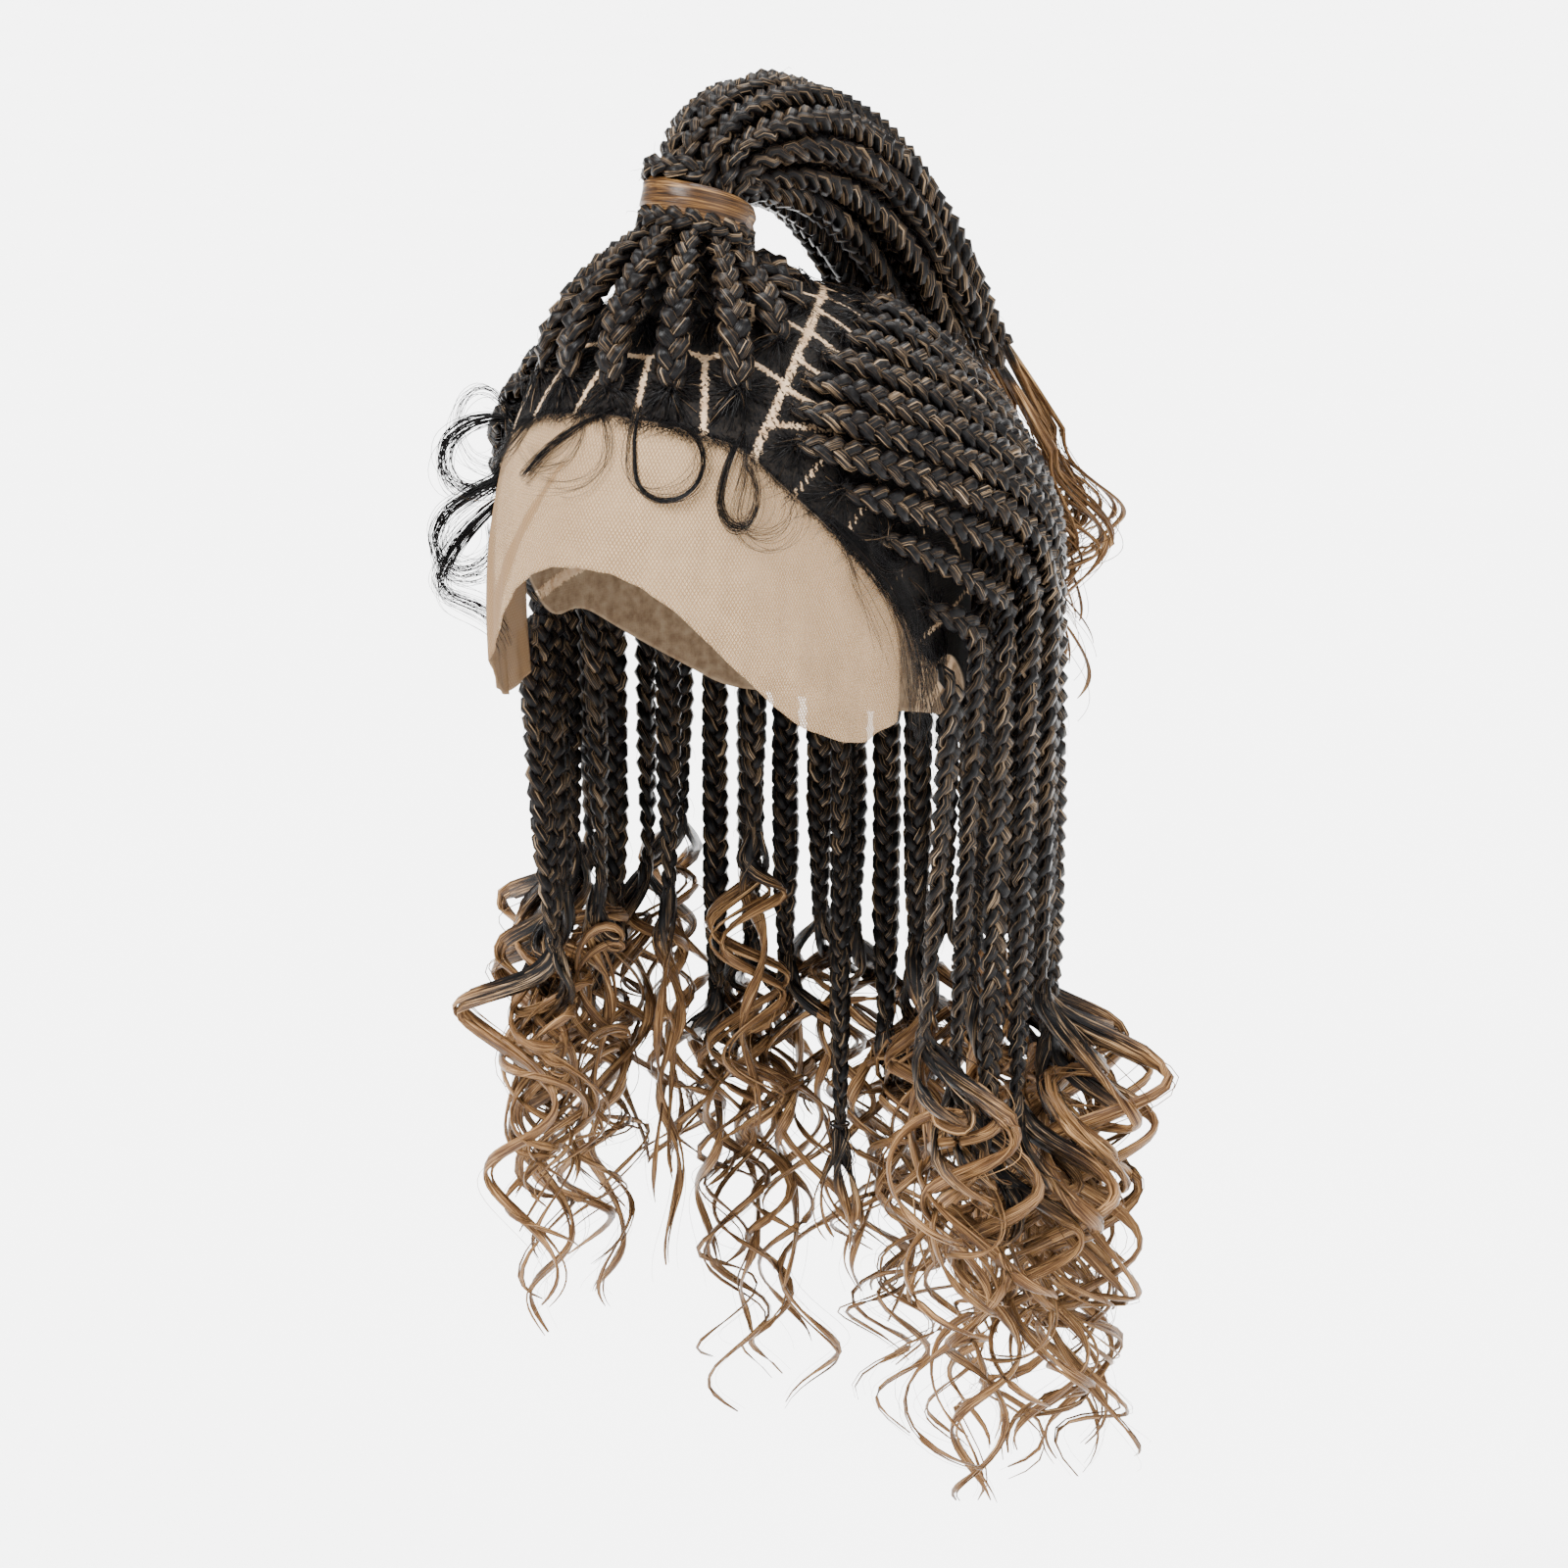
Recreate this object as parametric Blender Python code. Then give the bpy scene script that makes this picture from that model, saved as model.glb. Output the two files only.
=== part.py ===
"""A braided lace-front wig in the shape that it keeps on a head.

Metres, +Z up. The origin is the inside of the cap at the crown, where the top of the head touches.
The face looks along -Y, and +X is the wearer's left. An azimuth is 0 at the left ear, -90 at the face
and 90 at the back. A level is 0 at the crown, 1 at the widest ring of the head and 2 at the nape.
"""

import math
from collections import namedtuple

import bmesh
import bpy
from mathutils import Vector
from mathutils.bvhtree import BVHTree

# Head that the cap is sewn for
HEAD_WIDTH = 0.154
HEAD_LENGTH = 0.192
CROWN_HEIGHT = 0.100
HEAD_SQUARENESS = 2.3
NAPE_DROP = 0.080
NAPE_TAPER = 0.07

# Cap and lace walls, and the air between pieces that lie on each other
CAP_WALL = 0.0012
LACE_WALL = 0.0010
CLEARANCE = 0.0004
ROOT_CLEARANCE = 0.0006
CHORD_EASE = 0.0008
CAP_COLUMNS = 36
CAP_ROWS = 7
LACE_COLUMNS = 16
LACE_ROWS = 4
LACE_END_AZIMUTH = -10.0

# Plaits: width along the head and thickness off it
BRAID_WIDTH = 0.0106
BRAID_THICKNESS = 0.0073
TOP_BRAID_WIDTH = 0.0124
UNDER_BRAIDS = 8
SIDE_STANDOFF = 0.0115
PILED_STANDOFF = 0.0310
BACK_STANDOFF = 0.0250
PILED_AZIMUTH = 30.0
UNDER_STANDOFF = 0.0090
FRONT_DRIFT = 0.0100

# Curled loose ends
CURL_PITCH = 0.066
CURL_REACH = 0.0230
CURL_SWAY = 0.0060
CURL_STEPS = 10
UNDER_CURL_STEPS = 7
UNDER_REACH = 0.15
CURL_RADIUS = 0.0036
CURL_TIP_RADIUS = 0.0014
CURL_FADE = 0.55
PLAIT_DROP = 0.275
UNDER_PLAIT_DROP = 0.235
CURL_LENGTH = 0.130
TUBE_SIDES = 5

# Ponytail and the lock wound round it
BUNDLE_BRAID = 0.0064
BUNDLE_GAP = 0.0004
ARCH_SPREAD = 1.90
ARCH_HEIGHT = 1.50
ARCH_BRAID = 0.0096
OUTER_BRAIDS = 11
INNER_BRAIDS = 5
WRAP_WIDTH = 0.0130
WRAP_THICKNESS = 0.0024
WRAP_EASE = 0.0014
WRAP_COLUMNS = 24

# Drop of an edge below the crown, as a share of CROWN_HEIGHT
Edge = namedtuple("Edge", "azimuth drop")
CAP_EDGE = [
    Edge(-90, 0.36),
    Edge(-70, 0.38),
    Edge(-50, 0.45),
    Edge(-30, 0.72),
    Edge(-10, 1.04),
    Edge(0, 1.28),
    Edge(10, 1.24),
    Edge(30, 1.44),
    Edge(50, 1.62),
    Edge(90, 1.70),
]
LACE_EDGE = [
    Edge(-90, 0.84),
    Edge(-78, 0.86),
    Edge(-66, 0.96),
    Edge(-50, 1.20),
    Edge(-38, 1.38),
    Edge(-22, 1.48),
    Edge(-10, 1.42),
]

# Folds of the lace at the wearer's right temple, with the height as a share of BRAID_THICKNESS
Fold = namedtuple("Fold", "azimuth half_width height")
LACE_FOLDS = [Fold(-134, 3.0, 0.30), Fold(-160, 4.0, 0.35)]

# Roots of the left half of the outer braids, from the ear up the hairline, then back along the parting
Root = namedtuple("Root", "azimuth level")
FALL_ROOTS = [
    Root(-1, 1.22),
    Root(-8, 1.02),
    Root(-22, 0.87),
    Root(-32, 0.765),
    Root(-43, 0.645),
    Root(-43, 0.555),
    Root(-38, 0.475),
    Root(-29, 0.405),
    Root(-16, 0.345),
    Root(0, 0.300),
    Root(20, 0.265),
    Root(40, 0.250),
    Root(60, 0.300),
    Root(78, 0.255),
]
UNDER_LEVEL = 0.76
UNDER_FIRST_AZIMUTH = 19.0
HANG_LEVEL = 1.08
EAR_EASE = 2.0
BACK_EASE = 1.45
EASE_AZIMUTH = 50.0

# Roots of the ponytail's braids in plan, as shares of half the head's width and length, with the slot
# that each takes round the band, counted from the wearer's left towards the face
TopRoot = namedtuple("TopRoot", "across along slot")
OUTER_ROOTS = [
    TopRoot(0.00, -0.77, -90),
    TopRoot(0.25, -0.72, -57),
    TopRoot(0.48, -0.60, -25),
    TopRoot(0.50, -0.36, 8),
    TopRoot(0.45, -0.12, 41),
    TopRoot(0.23, 0.12, 74),
    TopRoot(-0.23, 0.12, 106),
    TopRoot(-0.45, -0.12, 139),
    TopRoot(-0.50, -0.36, 172),
    TopRoot(-0.48, -0.60, 205),
    TopRoot(-0.25, -0.72, 237),
]
INNER_ROOTS = [
    TopRoot(0.00, -0.54, -90),
    TopRoot(0.25, -0.45, -18),
    TopRoot(0.11, -0.155, 54),
    TopRoot(-0.11, -0.155, 126),
    TopRoot(-0.25, -0.45, 198),
]

# Route of the ponytail's middle from the band, over the arch and down behind the head, with the
# bundle's spread at each point as a share of its way from the band's size to the arch's size
Stop = namedtuple("Stop", "x y z spread")
PONYTAIL_ROUTE = [
    Stop(0.000, -0.0268, 0.0120, 0.00),
    Stop(0.000, -0.0245, 0.0185, 0.00),
    Stop(0.000, -0.0220, 0.0255, 0.00),
    Stop(0.000, -0.0188, 0.0345, 0.00),
    Stop(0.000, -0.0140, 0.0412, 0.15),
    Stop(0.000, 0.0010, 0.0455, 0.60),
    Stop(0.001, 0.0260, 0.0450, 1.00),
    Stop(0.002, 0.0560, 0.0350, 1.00),
    Stop(0.003, 0.0840, 0.0180, 1.00),
    Stop(0.004, 0.1080, -0.0060, 1.00),
    Stop(0.006, 0.1280, -0.0300, 0.85),
    Stop(0.009, 0.1470, -0.0520, 0.90),
    Stop(0.014, 0.1640, -0.0780, 1.05),
]
BAND_STOP = 2
PONYTAIL_REACH = 0.0150
PONYTAIL_CURL_LENGTH = 0.070
PONYTAIL_CURL_WAY = (0.75, 0.65, 0.0)
PONYTAIL_STATIONS = (0, 1, 2, 3, 3.7, 4.4, 5.2, 6, 7, 8, 9, 10)
ARCH_END_STOP = 10

# How plait drops, curl lengths and curl reaches differ from braid to braid
PLAIT_SHARES = [0.94, 1.02, 0.98, 1.06, 0.92, 1.00, 1.10, 0.96]
CURL_SHARES = [0.95, 1.20, 0.85, 1.05, 1.35, 0.90, 1.10]
REACH_SHARES = [1.0, 0.85, 1.1, 0.95, 1.15]
RIGHT_SIDE_SHORTENING = 0.86

BLACK_BROWN = (0.020, 0.016, 0.013)
HONEY_BROWN = (0.33, 0.17, 0.075)
LACE_TAN = (0.62, 0.46, 0.30)
CAP_CREAM = (0.70, 0.58, 0.42)


def clear_scene():
    for obj in list(bpy.data.objects):
        bpy.data.objects.remove(obj)


def material(name, colour, roughness):
    made = bpy.data.materials.new(name)
    made.use_nodes = True
    shader = made.node_tree.nodes["Principled BSDF"]
    shader.inputs["Base Color"].default_value = (*colour, 1.0)
    shader.inputs["Roughness"].default_value = roughness
    shader.inputs["Metallic"].default_value = 0.0
    made.diffuse_color = (*colour, 1.0)
    return made


def smooth(share):
    """0 to 1 with level ends: 3 s squared less 2 s cubed."""
    share = min(1.0, max(0.0, share))
    return share * share * (3 - 2 * share)


def blend(a, b, share):
    return a + (b - a) * share


def along(table, column, azimuth):
    """A column of a left-hand table at an azimuth, mirrored for the right side of the head."""
    azimuth = (azimuth + 90) % 360 - 90
    if azimuth > 90:
        azimuth = 180 - azimuth
    for low, high in zip(table, table[1:]):
        if azimuth <= high.azimuth:
            share = (azimuth - low.azimuth) / (high.azimuth - low.azimuth)
            return blend(getattr(low, column), getattr(high, column), max(0.0, share))
    return getattr(table[-1], column)


def level_at(drop):
    """The level of a drop below the crown, given as a share of CROWN_HEIGHT."""
    if drop <= 1:
        return math.acos((1 - drop) ** (HEAD_SQUARENESS / 2)) / (math.pi / 2)
    return 1 + (drop - 1) * CROWN_HEIGHT / NAPE_DROP


def head_profile(level):
    """Share of the widest radius and height: a superellipse down to level 1, a slow taper below."""
    if level <= 1:
        angle = level * math.pi / 2
        power = 2 / HEAD_SQUARENESS
        return math.sin(angle) ** power, -CROWN_HEIGHT * (1 - max(0.0, math.cos(angle)) ** power)
    below = level - 1
    return 1 - NAPE_TAPER * below**2, -CROWN_HEIGHT - NAPE_DROP * below


def head_normal(azimuth, level):
    """The head's outward direction: the gradient of the superellipsoid, or of the taper."""
    turn = math.radians(azimuth)
    across = math.cos(turn) / (HEAD_WIDTH / 2)
    ahead = math.sin(turn) / (HEAD_LENGTH / 2)
    if level > 1:
        slope = 2 * NAPE_TAPER * (level - 1) / NAPE_DROP
        return Vector((across, ahead, -slope)).normalized()
    share, height = head_profile(level)
    power = HEAD_SQUARENESS - 1
    rise = 1 + height / CROWN_HEIGHT
    out = share**power
    return Vector((out * across, out * ahead, rise**power / CROWN_HEIGHT)).normalized()


def head_point(azimuth, level, off=0.0):
    """A point that stands off the head by a distance, at an azimuth in degrees and a level."""
    turn = math.radians(azimuth)
    share, height = head_profile(level)
    x = HEAD_WIDTH / 2 * share * math.cos(turn)
    y = HEAD_LENGTH / 2 * share * math.sin(turn)
    return Vector((x, y, height)) + off * head_normal(azimuth, level)


def plan_to_head(across, along_head):
    """Azimuth and level of the point of the upper head at these shares of its half width and length."""
    radius = math.hypot(across, along_head)
    angle = math.asin(min(1.0, radius ** (HEAD_SQUARENESS / 2)))
    return math.degrees(math.atan2(along_head, across)), angle / (math.pi / 2)


def add_object(name, mesh_builder, *materials):
    """A mesh object from a bmesh, shaded smooth, with one or two materials."""
    mesh = bpy.data.meshes.new(name)
    bmesh.ops.recalc_face_normals(mesh_builder, faces=mesh_builder.faces)
    mesh_builder.to_mesh(mesh)
    mesh_builder.free()
    for one in materials:
        mesh.materials.append(one)
    mesh.shade_smooth()
    mesh.set_sharp_from_angle(angle=math.radians(50))
    obj = bpy.data.objects.new(name, mesh)
    bpy.context.scene.collection.objects.link(obj)
    return obj


def add_quads(builder, first, second, closed, index=0):
    """Joins two rows of vertices with quads."""
    count = len(first)
    for i in range(count if closed else count - 1):
        j = (i + 1) % count
        face = builder.faces.new((first[i], first[j], second[j], second[i]))
        face.material_index = index


def cap_edge_level(azimuth):
    return level_at(along(CAP_EDGE, "drop", azimuth))


def build_cap(cream):
    """The lace cap: a dome of one wall, open at the face, the neck and below."""
    builder = bmesh.new()
    surfaces = []
    for off in (CAP_WALL, 0.0):
        crown = builder.verts.new(head_point(0, 0, off))
        rows = []
        for row in range(1, CAP_ROWS + 1):
            ring = []
            for column in range(CAP_COLUMNS):
                azimuth = 360 * column / CAP_COLUMNS - 90
                level = cap_edge_level(azimuth) * row / CAP_ROWS
                ring.append(builder.verts.new(head_point(azimuth, level, off)))
            rows.append(ring)
        for i in range(CAP_COLUMNS):
            builder.faces.new((crown, rows[0][i], rows[0][(i + 1) % CAP_COLUMNS]))
        for first, second in zip(rows, rows[1:]):
            add_quads(builder, first, second, True)
        surfaces.append(rows)
    add_quads(builder, surfaces[0][-1], surfaces[1][-1], True)
    surface = BVHTree.FromBMesh(builder)
    add_object("lace_cap", builder, cream)
    return surface


def fold_off(azimuth, depth_share):
    """How far a fold lifts the lace: a ridge that grows from the hairline to the cut edge."""
    lift = 0.0
    for fold in LACE_FOLDS:
        near = 1 - abs(azimuth - fold.azimuth) / fold.half_width
        lift += max(0.0, near) * fold.height * BRAID_THICKNESS * depth_share
    return lift


def build_lace_front(tan):
    """The sheer front panel, from the hairline down the forehead to its cut edge."""
    start, end = LACE_END_AZIMUTH, -180 - LACE_END_AZIMUTH
    azimuths = [blend(start, end, i / LACE_COLUMNS) for i in range(LACE_COLUMNS + 1)]
    for fold in LACE_FOLDS:
        azimuths = [a for a in azimuths if abs(a - fold.azimuth) > fold.half_width * 1.2]
        azimuths += [fold.azimuth + side * fold.half_width for side in (-1, 0, 1)]
    azimuths.sort()
    gap = CLEARANCE / CROWN_HEIGHT
    builder = bmesh.new()
    surfaces = []
    for off in (LACE_WALL, 0.0):
        columns = []
        for azimuth in azimuths:
            top = level_at(along(CAP_EDGE, "drop", azimuth) + gap)
            bottom = level_at(along(LACE_EDGE, "drop", azimuth))
            column = []
            for row in range(LACE_ROWS + 1):
                share = row / LACE_ROWS
                lift = off + fold_off(azimuth, share)
                point = head_point(azimuth, blend(top, bottom, share), lift)
                column.append(builder.verts.new(point))
            columns.append(column)
        for first, second in zip(columns, columns[1:]):
            add_quads(builder, first, second, False)
        surfaces.append(columns)
    outer, inner = surfaces
    for end_column in (0, -1):
        add_quads(builder, outer[end_column], inner[end_column], False)
    for end_row in (0, -1):
        top = [column[end_row] for column in outer]
        add_quads(builder, top, [column[end_row] for column in inner], False)
    return add_object("lace_front", builder, tan)


Station = namedtuple("Station", "point out half_width half_thickness curl")


def build_lock(name, stations, dark, brown):
    """A lock lofted through oval sections, flat towards the head. A station's out points off the head."""
    builder = bmesh.new()
    rings = []
    for i, station in enumerate(stations):
        before, after = stations[max(0, i - 1)], stations[min(len(stations) - 1, i + 1)]
        forward = (after.point - before.point).normalized()
        side = forward.cross(station.out).normalized()
        out = side.cross(forward).normalized()
        ring = []
        for k in range(TUBE_SIDES):
            turn = math.pi / 2 + 2 * math.pi * k / TUBE_SIDES
            offset = side * math.cos(turn) * station.half_width
            offset += out * math.sin(turn) * station.half_thickness
            ring.append(builder.verts.new(station.point + offset))
        rings.append(ring)
    for first, second, station in zip(rings, rings[1:], stations[1:]):
        add_quads(builder, first, second, True, 1 if station.curl else 0)
    builder.faces.new(rings[0])
    builder.faces.new(rings[-1]).material_index = 1
    return add_object(name, builder, dark, brown)


def curl_stations(start, out, length, reach, steps):
    """The loose end below a plait: it swings out and back as it falls, and thins to its tip."""
    side = Vector((0, 0, 1)).cross(out).normalized()
    made = []
    for step in range(1, steps + 1):
        share = step / steps
        fallen = length * share
        turn = 2 * math.pi * fallen / CURL_PITCH
        grow = smooth(fallen / CURL_PITCH * 1.5) * (1 - CURL_FADE * share)
        point = start + Vector((0, 0, -fallen))
        point += out * reach * grow * (1 - math.cos(turn))
        point += side * CURL_SWAY * grow * math.sin(turn)
        radius = blend(CURL_RADIUS, CURL_TIP_RADIUS, share**1.5)
        made.append(Station(point, out, radius, radius, True))
    return made


def seat_off(cap, azimuth, level):
    """Distance from the head to the middle of a braid that lies on the cap's faceted surface."""
    sag = cap.find_nearest(head_point(azimuth, level, CAP_WALL))[3]
    return CAP_WALL - sag + ROOT_CLEARANCE + math.cos(math.pi / TUBE_SIDES) * BRAID_THICKNESS / 2


def folded(azimuth):
    """An azimuth of the right side of the head, as its mirror image on the left."""
    return azimuth if azimuth <= 90 else 180 - azimuth


def fall_standoff(azimuth):
    """Distance from the head to the middle of an outer braid where it hangs: most where they pile up."""
    piled = blend(SIDE_STANDOFF, PILED_STANDOFF, smooth(folded(azimuth) / PILED_AZIMUTH))
    past = (folded(azimuth) - PILED_AZIMUTH) / (90 - PILED_AZIMUTH)
    return blend(piled, BACK_STANDOFF, smooth(past))


def spread_azimuths(first, last, standoff, count):
    """Azimuths spaced evenly by length along the ring where braids hang."""
    degrees = [blend(first, last, i / 90) for i in range(91)]
    points = [head_point(a, HANG_LEVEL, standoff(a)) for a in degrees]
    lengths = [0.0]
    for a, b in zip(points, points[1:]):
        lengths.append(lengths[-1] + (b - a).length)
    azimuths = []
    for i in range(count):
        wanted = lengths[-1] * i / (count - 1)
        at = next(k for k in range(1, len(lengths)) if wanted <= lengths[k] + 1e-9)
        share = (wanted - lengths[at - 1]) / (lengths[at] - lengths[at - 1])
        azimuths.append(blend(degrees[at - 1], degrees[at], share))
    return azimuths


def hanging_lock(cap, root, hang_azimuth, standoff, plait_drop, curl, steps):
    """Stations of a braid that runs down the head from its root, then hangs, then curls."""
    stations = []
    half_width, half_thickness = BRAID_WIDTH / 2, BRAID_THICKNESS / 2
    lifted = blend(0.75, 1.0, smooth((folded(hang_azimuth) - PILED_AZIMUTH) / 30))
    ease = blend(EAR_EASE, BACK_EASE, smooth(folded(hang_azimuth) / EASE_AZIMUTH))
    for share in (0.0, 0.10, 0.24, 0.42, 0.62, 0.82, 1.0):
        azimuth = blend(root.azimuth, hang_azimuth, 1 - (1 - share) ** ease)
        level = blend(root.level, max(HANG_LEVEL, root.level + 0.25), share)
        seat = seat_off(cap, azimuth, level) if share < 0.5 else CAP_WALL + BRAID_THICKNESS
        off = blend(seat, standoff, smooth((share - 0.02) / lifted)) + min(share * 10, 1) * CHORD_EASE
        point = head_point(azimuth, level, off)
        stations.append(Station(point, head_normal(azimuth, level), half_width, half_thickness, False))
    hang = stations[-1].point
    out = head_normal(hang_azimuth, 1.0)
    drift = FRONT_DRIFT * max(0.0, 1 - folded(hang_azimuth) / 30)
    for share in (0.5, 1.0):
        point = Vector((hang.x, hang.y, -blend(-hang.z, plait_drop, share))) - out * drift * share
        stations.append(Station(point, out, half_width, half_thickness, False))
    length, reach = curl
    return stations + curl_stations(stations[-1].point, out, length, reach, steps)


def build_fall_braids(cap, dark, brown):
    """The outer braids, from ear to ear round the back."""
    roots = list(FALL_ROOTS) + [Root(180 - r.azimuth, r.level) for r in reversed(FALL_ROOTS)]
    azimuths = spread_azimuths(0.0, 180.0, fall_standoff, len(roots))
    for i, (azimuth, root) in enumerate(zip(azimuths, roots)):
        side = RIGHT_SIDE_SHORTENING if azimuth > 130 else 1.0
        drop = PLAIT_DROP * PLAIT_SHARES[i % len(PLAIT_SHARES)] * side
        curl = (
            CURL_LENGTH * CURL_SHARES[i % len(CURL_SHARES)],
            CURL_REACH * REACH_SHARES[i % len(REACH_SHARES)],
        )
        standoff = fall_standoff(azimuth)
        lock = hanging_lock(cap, root, azimuth, standoff, drop, curl, CURL_STEPS)
        build_lock(f"fall_braid_{i + 1:02d}", lock, dark, brown)


def build_under_braids(cap, dark, brown):
    """The shorter layer that lies against the cap below the outer braids."""
    first, last = UNDER_FIRST_AZIMUTH, 180 - UNDER_FIRST_AZIMUTH
    azimuths = spread_azimuths(first, last, lambda azimuth: UNDER_STANDOFF, UNDER_BRAIDS)
    for i, azimuth in enumerate(azimuths):
        drop = UNDER_PLAIT_DROP * PLAIT_SHARES[(i + 3) % len(PLAIT_SHARES)]
        curl = (CURL_LENGTH * CURL_SHARES[(i + 2) % len(CURL_SHARES)], CURL_REACH * UNDER_REACH)
        root = Root(azimuth, UNDER_LEVEL)
        lock = hanging_lock(cap, root, azimuth, UNDER_STANDOFF, drop, curl, UNDER_CURL_STEPS)
        build_lock(f"under_braid_{i + 1:02d}", lock, dark, brown)


def route_point(position):
    """Middle, forward direction and spread of the ponytail at a position counted in stops."""
    at = min(int(position), len(PONYTAIL_ROUTE) - 2)
    share = position - at
    points = [Vector(stop[:3]) for stop in PONYTAIL_ROUTE]
    p1, p2 = points[at], points[at + 1]
    p0 = points[at - 1] if at else p1 * 2 - p2
    p3 = points[at + 2] if at + 2 < len(points) else p2 * 2 - p1
    a, b, c = p2 - p0, 2 * p0 - 5 * p1 + 4 * p2 - p3, 3 * p1 - p0 - 3 * p2 + p3
    point = p1 + 0.5 * (a * share + b * share**2 + c * share**3)
    forward = (0.5 * (a + 2 * b * share + 3 * c * share**2)).normalized()
    spread = blend(PONYTAIL_ROUTE[at].spread, PONYTAIL_ROUTE[at + 1].spread, share)
    return point, forward, spread


def bundle_station(position, slot, radius, curl=False):
    """A braid's place in the ponytail: its slot's offset, widened by the arch, about the middle."""
    middle, forward, spread = route_point(position)
    across = Vector((1, 0, 0))
    up = across.cross(forward).normalized()
    turn = math.radians(slot)
    sideways = radius * math.cos(turn) * blend(1, ARCH_SPREAD, spread)
    upwards = -radius * math.sin(turn) * blend(1, ARCH_HEIGHT, spread)
    point = middle + across * sideways + up * upwards
    half = blend(BUNDLE_BRAID, ARCH_BRAID, spread) / 2
    if curl:
        half = blend(CURL_RADIUS, CURL_TIP_RADIUS, curl)
    return Station(point, up, half, half * 0.98, bool(curl))


def inner_ring_radius():
    return (BUNDLE_BRAID + BUNDLE_GAP) / 2 / math.sin(math.pi / INNER_BRAIDS) * 1.02


def outer_ring_radius():
    """Room for the ring's own braids side by side, and for the inner ring within it."""
    own = (BUNDLE_BRAID + BUNDLE_GAP) / 2 / math.sin(math.pi / OUTER_BRAIDS) * 1.02
    return max(own, inner_ring_radius() + BUNDLE_BRAID + BUNDLE_GAP)


def top_lock(cap, root, radius, joins, lifted, curl_share):
    """Stations of a ponytail braid: up the cap, through the band, over the arch, then loose."""
    azimuth, level = plan_to_head(root.across, root.along)
    start = head_point(azimuth, level, seat_off(cap, azimuth, level))
    normal = head_normal(azimuth, level)
    half_width, half_thickness = TOP_BRAID_WIDTH / 2, BRAID_THICKNESS / 2
    stations = [Station(start, normal, half_width, half_thickness, False)]
    neck = bundle_station(joins, root.slot, radius)
    for share in (0.22, 0.5, 0.78):
        point = start.lerp(neck.point, share)
        span = (neck.point - start).length
        lift = span * lifted * math.sin(math.pi * share) ** 0.8
        out = normal.lerp(Vector((0, 0, 1)), 0.4 * share).normalized()
        width = blend(half_width, neck.half_width, share)
        thick = blend(half_thickness, neck.half_thickness, share)
        stations.append(Station(point + out * lift, out, width, thick, False))
    for position in PONYTAIL_STATIONS:
        if position >= joins:
            stations.append(bundle_station(position, root.slot, radius))
    end = len(PONYTAIL_ROUTE) - 1
    for share in (0.33, 0.67, 1.0):
        position = blend(ARCH_END_STOP, end, share)
        stations.append(bundle_station(position, root.slot, radius, curl=share * 0.3))
    out = Vector(PONYTAIL_CURL_WAY).normalized()
    length = PONYTAIL_CURL_LENGTH * curl_share
    return stations + curl_stations(stations[-1].point, out, length, PONYTAIL_REACH, 5)


def build_top_braids(cap, dark, brown):
    """The braids of the ponytail, each one piece from its root to its loose end."""
    shares = [0.8, 1.0, 0.9, 1.1]
    locks = []
    for root in OUTER_ROOTS:
        front = 0.5 - 0.5 * math.sin(math.radians(root.slot))
        locks.append((root, outer_ring_radius(), blend(0.2, 1, front), blend(0.04, 0.14, front)))
    locks += [(root, inner_ring_radius(), 0, 0.01) for root in INNER_ROOTS]
    for i, (root, radius, joins, lifted) in enumerate(locks):
        stations = top_lock(cap, root, radius, joins, lifted, shares[i % len(shares)])
        build_lock(f"top_braid_{i + 1:02d}", stations, dark, brown)


def build_wrap(brown):
    """The smooth lock wound once round the ponytail: a ring with rounded edges."""
    middle, axis, _ = route_point(BAND_STOP)
    across = Vector((1, 0, 0))
    up = across.cross(axis).normalized()
    inner = outer_ring_radius() + BUNDLE_BRAID / 2 + WRAP_EASE
    profile = [
        (inner, -0.42),
        (inner, 0.42),
        (inner + 0.6 * WRAP_THICKNESS, 0.5),
        (inner + WRAP_THICKNESS, 0.25),
        (inner + WRAP_THICKNESS, -0.25),
        (inner + 0.6 * WRAP_THICKNESS, -0.5),
    ]
    builder = bmesh.new()
    rings = []
    for column in range(WRAP_COLUMNS):
        turn = 2 * math.pi * column / WRAP_COLUMNS
        away = across * math.cos(turn) + up * math.sin(turn)
        points = [middle + away * r + axis * h * WRAP_WIDTH for r, h in profile]
        rings.append([builder.verts.new(point) for point in points])
    for i, ring in enumerate(rings):
        add_quads(builder, ring, rings[(i + 1) % WRAP_COLUMNS], True)
    return add_object("hair_wrap", builder, brown)


def main():
    clear_scene()
    dark = material("black_brown_hair", BLACK_BROWN, 0.42)
    brown = material("honey_brown_hair", HONEY_BROWN, 0.38)
    cap = build_cap(material("cap_lace", CAP_CREAM, 0.8))
    build_lace_front(material("front_lace", LACE_TAN, 0.85))
    build_fall_braids(cap, dark, brown)
    build_under_braids(cap, dark, brown)
    build_top_braids(cap, dark, brown)
    build_wrap(brown)


main()
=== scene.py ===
"""The looks of a braided lace-front wig in its worn form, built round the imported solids.

Metres, +Z up. The origin is the inside of the cap at the crown. The face looks along -Y, and +X is the
wearer's left. An azimuth is 0 at the left ear, -90 at the face and 90 at the back. A level is 0 at the
crown, 1 at the widest ring of the head and 2 at the nape.
"""

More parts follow.
